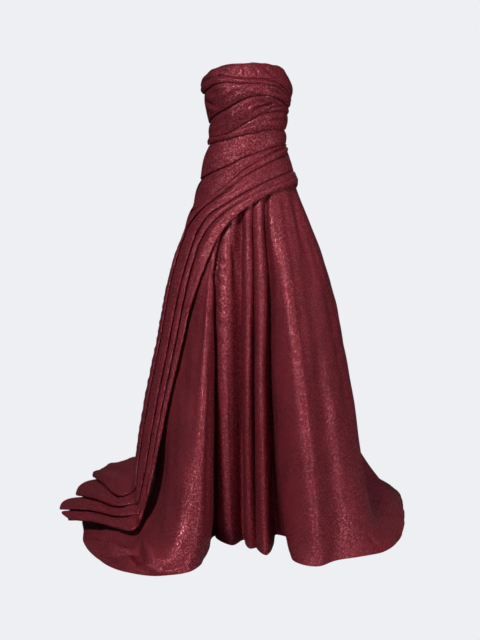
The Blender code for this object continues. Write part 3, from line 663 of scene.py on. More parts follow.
FRONT_BEARINGS = (-90, -60, -30, 0, 30, 60, 90)
BACK_BEARINGS = (90, 120, 150, 180, 210, 240, 270)
FRONT_SEAM = (0.940, 0.955, 0.990, 1.035, 1.072, 1.088, 1.090)
BACK_SEAM = (1.090, 1.066, 1.030, 1.003, 0.985, 0.965, 0.940)


def seam_height(bearing: np.ndarray) -> np.ndarray:
    """Height of the hidden seam where the skirt joins the bodice."""
    return smooth(bearing, FRONT_BEARINGS + BACK_BEARINGS[1:], FRONT_SEAM + BACK_SEAM[1:])


def seam_bearings(first: float, last: float, count: int) -> np.ndarray:
    """Even bearings between two seams, with half a seam's gap taken off each end."""
    bearings = np.linspace(first, last, count)
    bearings[0] += HALF_SEAM_DEGREES
    bearings[-1] -= HALF_SEAM_DEGREES
    return bearings


def line_edge(line: Line, knots: Sequence[float], bearings: np.ndarray, sway: float) -> tuple:
    """A pleat's edge over the bearings, with the small sway of hand laid pleats.

    Args:
        line: The pleat.
        knots: The bearings of the line's heights.
        bearings: Where to read it.
        sway: Height of the sway, in metres.

    Returns:
        Pairs of bearing and height, and the pleat's depth at each.
    """
    phase = sum(line.heights) * SWAY_PHASE
    from_ends = np.minimum(bearings - bearings[0], bearings[-1] - bearings)
    ease = np.clip(from_ends / SWAY_EASE_DEGREES, 0, 1)
    long_sway, short_sway = SWAY_DEGREES
    swing = np.sin(bearings / long_sway + phase)
    swing = swing + SHORT_SWAY_SHARE * np.sin(bearings / short_sway + 2.1 * phase)
    heights = smooth(bearings, knots, line.heights) + sway * ease * swing
    depths = smooth(bearings, (knots[0], (knots[0] + knots[-1]) / 2, knots[-1]), line.depths)
    return np.stack([bearings, heights], axis=-1), np.clip(depths, 0.0, 1.0)


def line_edges(lines: Sequence[Line], knots: Sequence[float], bearings: np.ndarray, sway: float) -> tuple:
    """The edges of several pleats, then the depths of each, read as line_edge reads one."""
    found = [line_edge(line, knots, bearings, sway) for line in lines]
    return [edge for edge, _ in found], [depth for _, depth in found]


@dataclass
class Bodice:
    """The pleated bodice: a front and two back halves, on to their seam with the skirt."""

    pleating: Pleating = Pleating(puff=0.0120, tuck=0.0044, crown=0.26, lip=0.0032)
    back_pleating: Pleating = Pleating(puff=0.0100, tuck=0.0032, crown=0.30, lip=0.0030)
    sway: float = 0.0008
    hidden_tuck: float = 0.0075
    hidden_rows: int = 7
    front_columns: int = 181
    back_columns: int = 91
    front_lines: tuple[Line, ...] = (
        Line("neck", (1.358, 1.386, 1.399, 1.404, 1.403, 1.396, 1.366), (0.5, 0.5, 0.5)),
        Line("upper fold", (1.340, 1.361, 1.368, 1.360, 1.357, 1.331, 1.304), (0.0, 0.5, 1.0)),
        Line("bust fold", (1.322, 1.334, 1.348, 1.343, 1.341, 1.318, 1.295), (1.0, 0.5, 0.0)),
        Line("underbust fold", (1.236, 1.255, 1.274, 1.304, 1.310, 1.294, 1.279), (0.9, 1.0, 1.0)),
        Line("fan fold", (1.194, 1.196, 1.204, 1.234, 1.263, 1.270, 1.262), (0.1, 1.0, 0.2)),
        Line("waist fold", (1.172, 1.178, 1.187, 1.199, 1.212, 1.217, 1.218), (0.8, 0.7, 0.8)),
        Line("high hip fold", (1.070, 1.085, 1.107, 1.136, 1.158, 1.169, 1.176), (1.0, 1.0, 0.8)),
        Line("sash top", (0.978, 0.995, 1.045, 1.102, 1.138, 1.158, 1.168), (1.0, 1.0, 1.0)),
    )
    back_lines: tuple[Line, ...] = (
        Line("neck", (1.366, 1.354, 1.348, 1.346, 1.347, 1.350, 1.358), (0.5, 0.5, 0.5)),
        Line("bust fold", (1.304, 1.312, 1.318, 1.320, 1.320, 1.321, 1.322), (1.0, 0.0, 1.0)),
        Line("underbust fold", (1.279, 1.270, 1.262, 1.258, 1.252, 1.244, 1.236), (1.0, 0.0, 0.9)),
        Line("waist fold", (1.218, 1.214, 1.208, 1.202, 1.195, 1.184, 1.172), (0.8, 0.0, 0.8)),
        Line("sash top", (1.168, 1.150, 1.132, 1.115, 1.100, 1.085, 1.070), (1.0, 1.0, 1.0)),
    )
    front_creases: tuple[Crease, ...] = (
        Crease("neck pucker", (-4, 0.25), (-2, 0.55), (2, 0.90), 5, -3.6),
        Crease("neck pucker right", (10, 0.20), (13, 0.50), (16, 0.85), 6, -3.6),
        Crease("neck slant", (24, 0.20), (32, 0.50), (44, 0.80), 9, -4.1),
        Crease("neck slant left", (-48, 0.70), (-34, 0.60), (-18, 0.65), 8, -4.1),
        Crease("neck side", (58, 0.25), (70, 0.45), (84, 0.50), 10, -5.9),
        Crease("cup sweep low left", (-84, 2.20), (-66, 2.50), (-46, 2.75), 9, -8.3),
        Crease("cup ridge left", (-80, 2.45), (-62, 2.70), (-44, 2.90), 7, 5.5),
        Crease("cup sweep", (-62, 2.18), (-40, 2.32), (-16, 2.26), 10, -5.5),
        Crease("cup slant", (-34, 2.80), (-16, 2.52), (4, 2.40), 9, -4.6),
        Crease("cup right", (8, 2.30), (28, 2.45), (52, 2.38), 11, -5.5),
        Crease("cup low right", (22, 2.78), (42, 2.66), (66, 2.66), 8, -4.9),
        Crease("fan first", (-2, 3.42), (20, 3.30), (46, 3.16), 6, -7.8),
        Crease("fan first ridge", (2, 3.54), (24, 3.42), (50, 3.28), 5, 5.5),
        Crease("fan second", (8, 3.70), (28, 3.56), (52, 3.44), 5, -7.0),
        Crease("fan third", (30, 3.86), (46, 3.72), (66, 3.62), 5, -4.9),
        Crease("midriff left", (-78, 3.46), (-52, 3.40), (-26, 3.46), 10, -5.9),
        Crease("midriff low left", (-70, 3.82), (-50, 3.72), (-30, 3.74), 7, -4.9),
        Crease("waist wedge", (-24, 4.50), (8, 4.42), (40, 4.46), 5, -4.1),
        Crease("waist wedge right", (30, 4.62), (52, 4.52), (78, 4.50), 6, -4.6),
        Crease("high hip sweep", (-72, 5.42), (-26, 5.34), (20, 5.42), 15, -4.1),
        Crease("high hip low", (-82, 5.82), (-44, 5.74), (0, 5.72), 8, -4.6),
        Crease("high hip short", (-4, 5.30), (4, 5.42), (8, 5.60), 6, -2.9),
        Crease("high hip dimple", (12, 5.22), (18, 5.36), (20, 5.56), 6, -2.9),
        Crease("high hip left", (-86, 5.20), (-74, 5.36), (-58, 5.52), 9, -4.6),
        Crease("under hip first", (-70, 6.26), (-38, 6.26), (0, 6.34), 5, -6.1),
        Crease("under hip ridge", (-64, 6.42), (-34, 6.40), (-4, 6.50), 6, 4.1),
        Crease("hip side", (-86, 6.46), (-66, 6.60), (-44, 6.66), 10, -5.5),
        Crease("hip side low", (-84, 6.78), (-68, 6.84), (-50, 6.86), 7, -4.1),
    )
    back_creases: tuple[Crease, ...] = (
        Crease("right blade sweep", (98, 1.30), (124, 1.45), (150, 1.40), 10, -3.8),
        Crease("right blade low", (94, 1.72), (116, 1.70), (142, 1.76), 8, -3.4),
        Crease("right back slant", (104, 2.30), (130, 2.45), (160, 2.38), 9, -3.4),
        Crease("right back low", (94, 2.70), (118, 2.72), (140, 2.80), 7, -3.2),
        Crease("right hip sweep", (96, 3.30), (126, 3.42), (164, 3.36), 11, -3.4),
        Crease("right hip low", (100, 3.72), (132, 3.66), (170, 3.74), 8, -3.2),
        Crease("right neck pucker", (112, 0.30), (118, 0.55), (126, 0.80), 8, -2.8),
        Crease("left neck pucker", (236, 0.80), (242, 0.55), (250, 0.30), 8, -2.8),
        Crease("left blade sweep", (210, 1.36), (236, 1.48), (262, 1.30), 10, -3.8),
        Crease("left blade low", (220, 1.80), (244, 1.70), (266, 1.74), 8, -3.4),
        Crease("left back slant", (200, 2.40), (230, 2.44), (258, 2.28), 9, -3.4),
        Crease("left back low", (216, 2.82), (240, 2.72), (266, 2.68), 7, -3.2),
        Crease("left hip sweep", (196, 3.38), (232, 3.46), (264, 3.26), 11, -3.4),
        Crease("left hip low", (190, 3.78), (226, 3.70), (262, 3.62), 8, -3.2),
    )
    waves: tuple[Wave, ...] = (
        Wave(0.061, 0.190, 0.35, 0.10),
        Wave(0.037, -0.083, 0.22, 0.45),
        Wave(-0.019, 0.052, 0.12, 0.30),
    )

    def grid(
        self,
        pleating: Pleating,
        lines: Sequence[Line],
        knots: Sequence[float],
        bearings: np.ndarray,
    ) -> ClothGrid:
        """Shapes one piece of the bodice from its pleats.

        Args:
            pleating: How the pleats stand.
            lines: The pleats' edges, from the neck down.
            knots: Bearings of the lines' heights.
            bearings: The piece's columns.

        Returns:
            The piece, with its plain hidden band down to the skirt's seam.
        """
        edges, depths = line_edges(lines, knots, bearings, self.sway)
        rows, places = pleating.rows(edges, depths, FORM.place, rolled_top=True)
        start = edges[-1][:, 1] + self.hidden_tuck
        bottom = seam_height(bearings) + SEAM_GAP
        for share in np.linspace(0, 1, self.hidden_rows):
            height = start + share * (bottom - start)
            rows.append(FORM.point(bearings, height, HIDDEN_LIFT))
            places.append(len(lines) - 1 + 0.01 + share)
        return ClothGrid(np.array(rows), bearings, np.array(places))

    def pieces(self) -> list[ClothPiece]:
        """The front and the two back halves, pleated and creased."""
        bearings = seam_bearings(-90, 90, self.front_columns)
        front = self.grid(self.pleating, self.front_lines, FRONT_BEARINGS, bearings)
        front.crease(self.front_creases, self.waves)
        made = [ClothPiece("bodice_front", front, "stretched")]
        for side in Side:
            bearings = seam_bearings(*side.value, self.back_columns)
            back = self.grid(self.back_pleating, self.back_lines, BACK_BEARINGS, bearings)
            back.crease(self.back_creases, self.waves)
            made.append(ClothPiece(f"bodice_back_{side.label}", back, "stretched"))
        return made


class DrapeSection(NamedTuple):
    """Where the five edges of the sash cross one section of it, as (bearing, height) pairs."""

    name: str
    top: tuple[float, float]
    thin: tuple[float, float]
    middle: tuple[float, float]
    lower: tuple[float, float]
    bottom: tuple[float, float]


class TailSection(NamedTuple):
    """The same five edges where the sash lies spread on the train, as points."""

    name: str
    top: tuple[float, float, float]
    thin: tuple[float, float, float]
    middle: tuple[float, float, float]
    lower: tuple[float, float, float]
    bottom: tuple[float, float, float]


@dataclass
class Sash:
    """The sash: two back pieces, and a drape that crosses the front and falls to the floor."""

    pleating: Pleating = Pleating(puff=0.0118, tuck=0.0050, lift=0.0030, crown=0.24, lip=0.0030)
    rolls: Pleating = Pleating(puff=0.0180, tuck=0.0060, lift=0.0008, crown=0.12, lip=0.0032)
    rolls_start: tuple[float, float] = (3.5, 6.5)
    top_tucked_up: float = 0.0025
    sway: float = 0.0007
    back_columns: int = 91
    fine: int = 7
    lower_fold_starts: float = 3.0
    steps: tuple[int, ...] = (3, 3, 3, 3, 3, 3, 2, 1, 2, 2, 2, 2, 2, 2)
    tail_steps: int = 2
    depths: tuple[float, ...] = (1.0, 0.9, 1.0, 0.9, 1.0)
    sections: tuple[DrapeSection, ...] = (
        DrapeSection("right seam", (90, 1.168), (90, 1.152), (90, 1.100), (90, 1.080), (90, 1.061)),
        DrapeSection("right front", (60, 1.158), (60, 1.139), (60, 1.091), (60, 1.070), (60, 1.051)),
        DrapeSection("right cup", (30, 1.138), (30, 1.118), (30, 1.072), (30, 1.052), (30, 1.034)),
        DrapeSection("centre", (0, 1.102), (1, 1.084), (2, 1.038), (1, 1.014), (2, 0.992)),
        DrapeSection("left cup", (-30, 1.045), (-28, 1.030), (-22, 1.002), (-20, 0.982), (-15, 0.950)),
        DrapeSection("left front", (-60, 0.995), (-55, 0.982), (-41, 0.968), (-36, 0.940), (-25, 0.905)),
        DrapeSection("hip", (-82, 0.981), (-74, 0.930), (-51, 0.920), (-44, 0.888), (-31, 0.848)),
        DrapeSection("side", (-89, 0.967), (-75, 0.907), (-52, 0.897), (-45, 0.864), (-33, 0.827)),
        DrapeSection("low side", (-89, 0.924), (-75, 0.885), (-53, 0.873), (-46, 0.840), (-34, 0.806)),
        DrapeSection("seat", (-98, 0.870), (-76, 0.862), (-54, 0.850), (-47, 0.815), (-36, 0.785)),
        DrapeSection("thigh", (-102, 0.740), (-77, 0.720), (-58, 0.710), (-50, 0.700), (-42, 0.690)),
        DrapeSection("mid thigh", (-102, 0.600), (-77, 0.595), (-60, 0.590), (-52, 0.590), (-45, 0.590)),
        DrapeSection("knee", (-101, 0.430), (-77, 0.430), (-61, 0.430), (-54, 0.430), (-49, 0.430)),
        DrapeSection("shin", (-99, 0.280), (-76, 0.250), (-63, 0.235), (-57, 0.225), (-54, 0.215)),
        DrapeSection("foot", (-96, 0.215), (-75, 0.165), (-67, 0.130), (-62, 0.110), (-60, 0.100)),
    )
    tail: tuple[TailSection, ...] = (
        TailSection(
            "turn",
            (-0.350, 0.200, 0.196),
            (-0.344, -0.050, 0.128),
            (-0.338, -0.105, 0.106),
            (-0.332, -0.155, 0.086),
            (-0.322, -0.225, 0.058),
        ),
        TailSection(
            "sag",
            (-0.410, 0.350, 0.150),
            (-0.388, -0.012, 0.104),
            (-0.390, -0.060, 0.083),
            (-0.384, -0.110, 0.064),
            (-0.384, -0.160, 0.042),
        ),
        TailSection(
            "spread",
            (-0.455, 0.470, 0.118),
            (-0.447, 0.158, 0.104),
            (-0.462, 0.065, 0.074),
            (-0.470, 0.005, 0.052),
            (-0.458, -0.060, 0.034),
        ),
        TailSection(
            "tips",
            (-0.500, 0.600, 0.066),
            (-0.520, 0.440, 0.072),
            (-0.552, 0.230, 0.056),
            (-0.588, 0.105, 0.038),
            (-0.552, 0.030, 0.022),
        ),
    )
    tail_out: tuple[float, float, float] = (-0.15, -0.35, 0.92)
    tail_puff: tuple[float, ...] = (0.014, 0.026, 0.028, 0.020)
    tail_tuck: tuple[float, ...] = (0.008, 0.010, 0.020, 0.026)
    tail_lip: float = 0.0045
    tip_notch: float = 0.055
    tip_shares: tuple[float, ...] = (0.0, 0.24, 0.6, 1.0)
    tip_profile: tuple[float, ...] = (1.0, 0.35, 0.03, 0.18)
    back_lines: tuple[Line, ...] = (
        Line("sash top", (1.168, 1.150, 1.132, 1.115, 1.100, 1.085, 1.070), (1.0, 1.0, 1.0)),
        Line("sash fold", (1.098, 1.082, 1.062, 1.046, 1.035, 1.022, 1.004), (0.9, 0.6, 0.9)),
        Line("sash bottom", (1.061, 1.030, 0.995, 0.972, 0.957, 0.943, 0.930), (1.0, 1.0, 1.0)),
    )
    drape_creases: tuple[Crease, ...] = (
        Crease("right hip crease", (0.3, 1.55), (1.5, 1.45), (3.0, 1.40), 7, -3.2),
        Crease("right hip low crease", (0.2, 2.50), (1.6, 2.45), (2.8, 2.50), 5, -2.5),
        Crease("centre crease", (2.2, 1.70), (3.4, 1.60), (4.6, 1.62), 7, -3.2),
        Crease("centre low crease", (2.4, 3.50), (3.6, 3.45), (5.0, 3.50), 6, -3.0),
        Crease("left hip crease", (4.0, 1.35), (5.2, 1.40), (6.6, 1.45), 7, -3.5),
        Crease("left hip ridge", (4.4, 3.45), (5.8, 3.50), (7.4, 3.50), 8, 3.5),
        Crease("side fall", (6.0, 0.50), (8.0, 0.52), (10.5, 0.45), 12, -4.4),
        Crease("thigh fall", (7.5, 3.45), (9.5, 3.55), (11.5, 3.50), 10, -3.9),
        Crease("mid fall", (8.5, 1.55), (10.5, 1.45), (12.5, 1.55), 10, -3.9),
        Crease("knee fall", (10.0, 2.50), (11.5, 2.45), (13.2, 2.50), 7, -3.2),
        Crease("outer fall", (9.5, 0.70), (11.5, 0.62), (13.5, 0.66), 10, 3.5),
        Crease("shin buckle", (12.6, 0.30), (13.2, 0.50), (13.8, 0.80), 12, -4.9),
        Crease("tail first", (14.4, 0.40), (15.3, 0.45), (16.3, 0.50), 12, -7.4),
        Crease("tail second", (14.6, 1.50), (15.4, 1.45), (16.4, 1.50), 10, -6.2),
        Crease("tail third", (14.4, 2.50), (15.4, 2.55), (16.5, 2.50), 8, -4.9),
        Crease("leaf fold", (15.8, 0.30), (16.8, 0.42), (17.9, 0.50), 13, -11.7),
        Crease("leaf ridge", (15.4, 0.62), (16.4, 0.70), (17.6, 0.76), 13, 10.4),
        Crease("second leaf fold", (16.0, 1.40), (17.0, 1.50), (17.9, 1.42), 10, -10.4),
        Crease("third leaf fold", (15.8, 2.42), (16.8, 2.58), (17.9, 2.50), 9, -9.1),
        Crease("lowest leaf fold", (15.4, 3.55), (16.4, 3.42), (17.8, 3.55), 9, -9.1),
    )
    back_creases: tuple[Crease, ...] = (
        Crease("right sash crease", (100, 0.45), (130, 0.52), (160, 0.45), 8, -2.3),
        Crease("right sash low", (98, 1.50), (126, 1.45), (158, 1.55), 8, -2.3),
        Crease("left sash crease", (198, 0.50), (230, 0.55), (262, 0.42), 8, -2.3),
        Crease("left sash low", (202, 1.55), (232, 1.48), (260, 1.55), 8, -2.3),
    )
    waves: tuple[Wave, ...] = (
        Wave(0.110, 0.260, 0.45, 0.20),
        Wave(0.047, -0.120, 0.25, 0.60),
        Wave(-0.026, 0.070, 0.12, 0.35),
    )

    def tail_place(self, coordinates: np.ndarray, out: np.ndarray) -> np.ndarray:
        """Points of the spread tail, moved out of the train that it lies on."""
        direction = np.array(self.tail_out) / np.linalg.norm(self.tail_out)
        return coordinates + np.asarray(out).reshape(-1, 1) * direction

    def tail_columns(self) -> list[np.ndarray]:
        """One column of points for each section of the tail, its tips rounded and notched."""
        depths = [np.array([value]) for value in self.depths]
        columns = []
        for section, puff, tuck in zip(self.tail, self.tail_puff, self.tail_tuck):
            edges = [np.array([point]) for point in section[1:]]
            pleating = Pleating(puff=puff, tuck=tuck, lip=self.tail_lip)
            rows, places = pleating.rows(edges, depths, self.tail_place, turned_bottom=True)
            columns.append(np.array(rows))
        shares = np.array(places) % 1.0
        columns[-1][..., 0] += self.tip_notch * smooth(shares, self.tip_shares, self.tip_profile)[:, None]
        return columns

    def drape(self) -> ClothGrid:
        """The sash from the right side seam across the front and down to its tips."""
        stations = np.arange(len(self.sections), dtype=float)
        spans = [np.linspace(i, i + 1, count + 1) for i, count in enumerate(self.steps)]
        along = np.unique(np.concatenate(spans))
        table = np.array([section[1:] for section in self.sections], float)
        coordinates = smooth(along, stations, table)
        coordinates[0, :, 0] -= HALF_SEAM_DEGREES
        edges = [coordinates[:, i] for i in range(table.shape[1])]
        edges[0] = edges[0] + np.array([0.0, self.top_tucked_up])
        depths = [np.full(len(along), depth) for depth in self.depths]
        depths[3] = depths[3] * np.clip(along - self.lower_fold_starts, 0.0, 1.0)
        flat, places = self.pleating.rows(edges, depths, FORM.place, turned_bottom=True)
        rolled, _ = self.rolls.rows(edges, depths, FORM.place, turned_bottom=True)
        first, last = self.rolls_start
        share = np.clip((along - first) / (last - first), 0.0, 1.0)[:, None]
        hung = np.array(flat) + share * (np.array(rolled) - np.array(flat))
        whole = np.concatenate([hung] + self.tail_columns(), axis=1)
        knots = np.concatenate([along, along[-1] + 1 + np.arange(len(self.tail))])
        tail_fine = np.arange(1, self.fine * self.tail_steps * len(self.tail) + 1)
        tail_fine = along[-1] + tail_fine / (self.fine * self.tail_steps)
        hung_fine = np.interp(
            np.arange((len(along) - 1) * self.fine + 1) / self.fine, np.arange(len(along)), along
        )
        fine = np.concatenate([hung_fine, tail_fine])
        points = np.swapaxes(smooth(fine, knots, np.swapaxes(whole, 0, 1)), 0, 1)
        return ClothGrid(points[:, ::-1], fine[::-1], np.array(places))

    def back(self, bearings: np.ndarray) -> ClothGrid:
        """One half of the sash across the back."""
        edges, depths = line_edges(self.back_lines, BACK_BEARINGS, bearings, self.sway)
        edges[0] = edges[0] + np.array([0.0, self.top_tucked_up])
        rows, places = self.pleating.rows(edges, depths, FORM.place, turned_bottom=True)
        return ClothGrid(np.array(rows), bearings, np.array(places))

    def pieces(self) -> list[ClothPiece]:
        """The drape and the two back pieces, creased."""
        drape = self.drape()
        drape.crease(self.drape_creases, self.waves)
        made = [ClothPiece("sash_drape", drape, "draped", ("bodice_front", "skirt_front"))]
        for side in Side:
            back = self.back(seam_bearings(*side.value, self.back_columns))
            back.crease(self.back_creases, self.waves)
            rests_on = (f"bodice_back_{side.label}",)
            made.append(ClothPiece(f"sash_back_{side.label}", back, "draped", rests_on))
        return made


class Fold(NamedTuple):
    """A ridge or a groove of the skirt: its bearing at the waist seam, then its way down.

    Its places lower down are in millimetres: across and along at the heights below, and with
    a height of their own near the floor.
    """

    name: str
    bearing: float
    thigh: tuple[float, float]
    knee: tuple[float, float]
    shin: tuple[float, float, float]
    hem: tuple[float, float, float]


class Fullness(NamedTuple):
    """How much of a fold has opened at a drop below the waist seam: of a ridge and a groove."""

    drop: float
    ridge: float
    groove: float


@dataclass
class Skirt:
    """The gathered skirt: a front and two back panels that run out into the train."""

    thigh_height: float = 800
    knee_height: float = 420
    hem_clearance: float = 0.0020
    fullness: tuple[Fullness, ...] = (Fullness(0.048, 0.13, 0.50), Fullness(0.110, 0.55, 0.88))
    round_folds: tuple[str, str] = ("left groove", "right groove")
    roundness: float = 0.85
    seam_part: float = 0.1
    slack_fold: str = "first ridge"
    top_easing: float = 0.2
    columns_per_fold: int = 12
    rows_per_step: int = 11
    steps: tuple[float, ...] = (
        0.0, 0.07, 0.11, 0.16, 0.25, 0.36, 0.48, 0.60, 0.72, 0.82, 0.90, 0.96, 1.0,
    )
    stations: tuple[float, ...] = (0.0, 0.07, 0.15, 0.34, 0.68, 0.88, 1.0)
    folds: tuple[Fold, ...] = (
        Fold("left seam", -90, (-204, 0), (-280, 0), (-318, 0, 75), (-495, 0, 0)),
        Fold("under the drape", -74, (-193, -50), (-266, -80), (-308, -90, 75), (-482, -125, 0)),
        Fold("drape bed", -57, (-167, -98), (-232, -148), (-275, -185, 75), (-430, -290, 0)),
        Fold("drape edge", -42, (-134, -134), (-204, -192), (-258, -290, 80), (-355, -425, 0)),
        Fold("left panel", -33, (-110, -156), (-160, -300), (-200, -420, 80), (-250, -488, 0)),
        Fold("left crest", -28, (-106, -162), (-122, -332), (-138, -412, 80), (-152, -445, 0)),
        Fold("left flank", -25, (-94, -160), (-99, -290), (-104, -335, 80), (-114, -282, 0)),
        Fold("left groove", -22, (-88, -136), (-87, -182), (-89, -165, 100), (-92, -125, 18)),
        Fold("first ridge", -15, (-56, -160), (-55, -224), (-48, -208, 80), (-43, -168, 2)),
        Fold("dark groove", -7, (-14, -130), (-12, -160), (-9, -146, 80), (-6, -128, 6)),
        Fold("second ridge", 1, (4, -178), (4, -226), (9, -226, 80), (12, -212, 2)),
        Fold("narrow groove", 8, (23, -150), (23, -182), (27, -198, 80), (30, -204, 5)),
        Fold("third ridge", 15, (44, -182), (44, -248), (53, -268, 80), (58, -276, 0)),
        Fold("right groove", 24, (65, -134), (69, -150), (80, -140, 90), (86, -128, 22)),
        Fold("flank foot", 28, (71, -142), (78, -166), (99, -152, 88), (130, -146, 16)),
        Fold("right flank", 34, (84, -172), (91, -228), (110, -272, 80), (129, -318, 0)),
        Fold("right crest", 43, (108, -186), (134, -294), (148, -342, 80), (158, -380, 0)),
        Fold("right panel", 53, (134, -182), (172, -306), (196, -378, 80), (200, -394, 0)),
        Fold("faint valley", 65, (172, -142), (220, -232), (250, -300, 80), (256, -330, 0)),
        Fold("side panel", 76, (212, -104), (270, -180), (322, -245, 80), (330, -288, 0)),
        Fold("side crest", 84, (238, -45), (314, -85), (368, -170, 80), (398, -235, 0)),
        Fold("right seam", 90, (240, 0), (318, 0), (380, -60, 80), (455, -105, 0)),
        Fold("side groove", 103, (215, 52), (284, 84), (380, 90, 98), (494, 95, 0)),
        Fold("side train", 116, (205, 110), (234, 180), (446, 264, 92), (516, 300, 0)),
        Fold("train groove", 130, (160, 132), (208, 246), (390, 440, 88), (527, 560, 0)),
        Fold("right train", 143, (136, 178), (206, 345), (318, 640, 115), (472, 800, 0)),
        Fold("inner groove", 155, (88, 168), (140, 348), (212, 680, 75), (350, 940, 0)),
        Fold("inner train", 168, (52, 202), (80, 402), (118, 755, 85), (185, 1025, 0)),
        Fold("back seam", 180, (0, 188), (0, 385), (0, 740, 65), (0, 1055, 0)),
        Fold("left inner train", 193, (-54, 200), (-84, 400), (-120, 750, 90), (-190, 1025, 0)),
        Fold("left inner groove", 206, (-90, 165), (-140, 340), (-210, 670, 70), (-355, 940, 0)),
        Fold("left train", 219, (-134, 174), (-200, 335), (-305, 610, 100), (-470, 790, 0)),
        Fold("left side groove", 231, (-156, 120), (-228, 230), (-338, 415, 88), (-525, 580, 0)),
        Fold("left side", 244, (-183, 86), (-258, 135), (-325, 210, 75), (-530, 330, 0)),
        Fold("left side fold", 257, (-199, 40), (-275, 62), (-320, 80, 75), (-515, 140, 0)),
    )
    front_creases: tuple[Crease, ...] = (
        Crease("crumple first", (6.9, 0.22), (7.3, 0.27), (7.9, 0.29), 9, -7.8),
        Crease("crumple second", (6.7, 0.29), (7.3, 0.32), (7.9, 0.34), 8, -7.2),
        Crease("crumple third", (7.0, 0.355), (7.5, 0.37), (7.9, 0.39), 9, -7.8),
        Crease("crumple fourth", (7.1, 0.40), (7.6, 0.415), (8.0, 0.44), 9, -7.2),
        Crease("crumple fifth", (7.0, 0.445), (7.6, 0.455), (8.0, 0.47), 8, -6.6),
        Crease("crumple sixth", (7.2, 0.49), (7.7, 0.50), (8.0, 0.52), 9, -6.6),
        Crease("crumple seventh", (7.3, 0.535), (7.7, 0.54), (8.1, 0.555), 10, -5.4),
        Crease("crumple ridge", (7.3, 0.25), (7.6, 0.38), (7.7, 0.52), 10, 5.4),
        Crease("under drape hollow", (8.2, 0.18), (8.5, 0.28), (8.6, 0.42), 12, -9.0),
        Crease("flank dent first", (5.4, 0.30), (6.0, 0.34), (6.5, 0.36), 12, -4.0),
        Crease("flank dent second", (5.3, 0.44), (5.9, 0.47), (6.4, 0.46), 13, -3.6),
        Crease("panel sweep", (4.0, 0.36), (4.2, 0.60), (4.1, 0.84), 26, -5.0),
        Crease("panel crest", (4.7, 0.40), (4.9, 0.66), (4.9, 0.92), 26, 5.0),
        Crease("panel valley", (5.5, 0.55), (5.6, 0.72), (5.5, 0.90), 18, -4.0),
        Crease("lobe crease first", (0.7, 0.985), (1.7, 0.955), (2.6, 0.935), 19, -20.9),
        Crease("lobe crease second", (2.0, 0.985), (2.7, 0.955), (2.75, 0.93), 16, -20.9),
        Crease("lobe crease third", (2.75, 0.935), (3.2, 0.95), (3.45, 0.98), 17, -22.7),
        Crease("lobe crease fourth", (3.5, 0.945), (4.1, 0.975), (4.6, 0.97), 19, -17.1),
        Crease("lobe crease fifth", (1.2, 0.992), (2.0, 0.985), (2.9, 0.98), 13, -11.3),
        Crease("lobe ridge first", (1.1, 0.975), (1.9, 0.965), (2.6, 0.95), 16, 15.1),
        Crease("lobe ridge second", (2.8, 0.905), (3.3, 0.92), (3.75, 0.955), 23, 20.9),
        Crease("lobe ridge third", (2.9, 0.975), (3.2, 0.972), (3.6, 0.985), 14, 13.3),
        Crease("lobe ridge fourth", (0.5, 0.955), (1.1, 0.945), (1.7, 0.935), 17, 13.3),
        Crease("first ridge dent", (8.1, 0.55), (8.2, 0.68), (8.1, 0.80), 10, -3.6),
        Crease("first ridge fold", (8.5, 0.60), (8.6, 0.74), (8.5, 0.90), 8, 2.6),
        Crease("second ridge dent", (10.0, 0.62), (10.1, 0.75), (10.0, 0.90), 9, -2.6),
        Crease("third ridge dent", (12.1, 0.40), (12.2, 0.55), (12.0, 0.72), 9, -2.4),
        Crease("right panel valley", (17.0, 0.20), (17.2, 0.45), (17.3, 0.72), 22, -5.0),
        Crease("right panel crest", (16.1, 0.24), (16.3, 0.55), (16.6, 0.88), 20, 4.5),
        Crease("right panel low", (18.2, 0.46), (18.5, 0.70), (18.5, 0.92), 24, 4.4),
        Crease("side panel valley", (19.2, 0.32), (19.4, 0.55), (19.5, 0.82), 22, -4.4),
        Crease("side panel hip", (18.0, 0.10), (18.3, 0.20), (18.5, 0.38), 14, -4.4),
        Crease("side panel hip crest", (19.0, 0.10), (19.3, 0.22), (19.4, 0.42), 14, 4.2),
        Crease("seat valley", (16.6, 0.09), (16.9, 0.18), (17.1, 0.34), 12, -4.4),
        Crease("seat crest", (17.6, 0.10), (17.8, 0.20), (17.7, 0.32), 12, 3.6),
        Crease("right hem dip", (19.2, 0.90), (19.6, 0.94), (19.8, 0.985), 12, -4.4),
    )
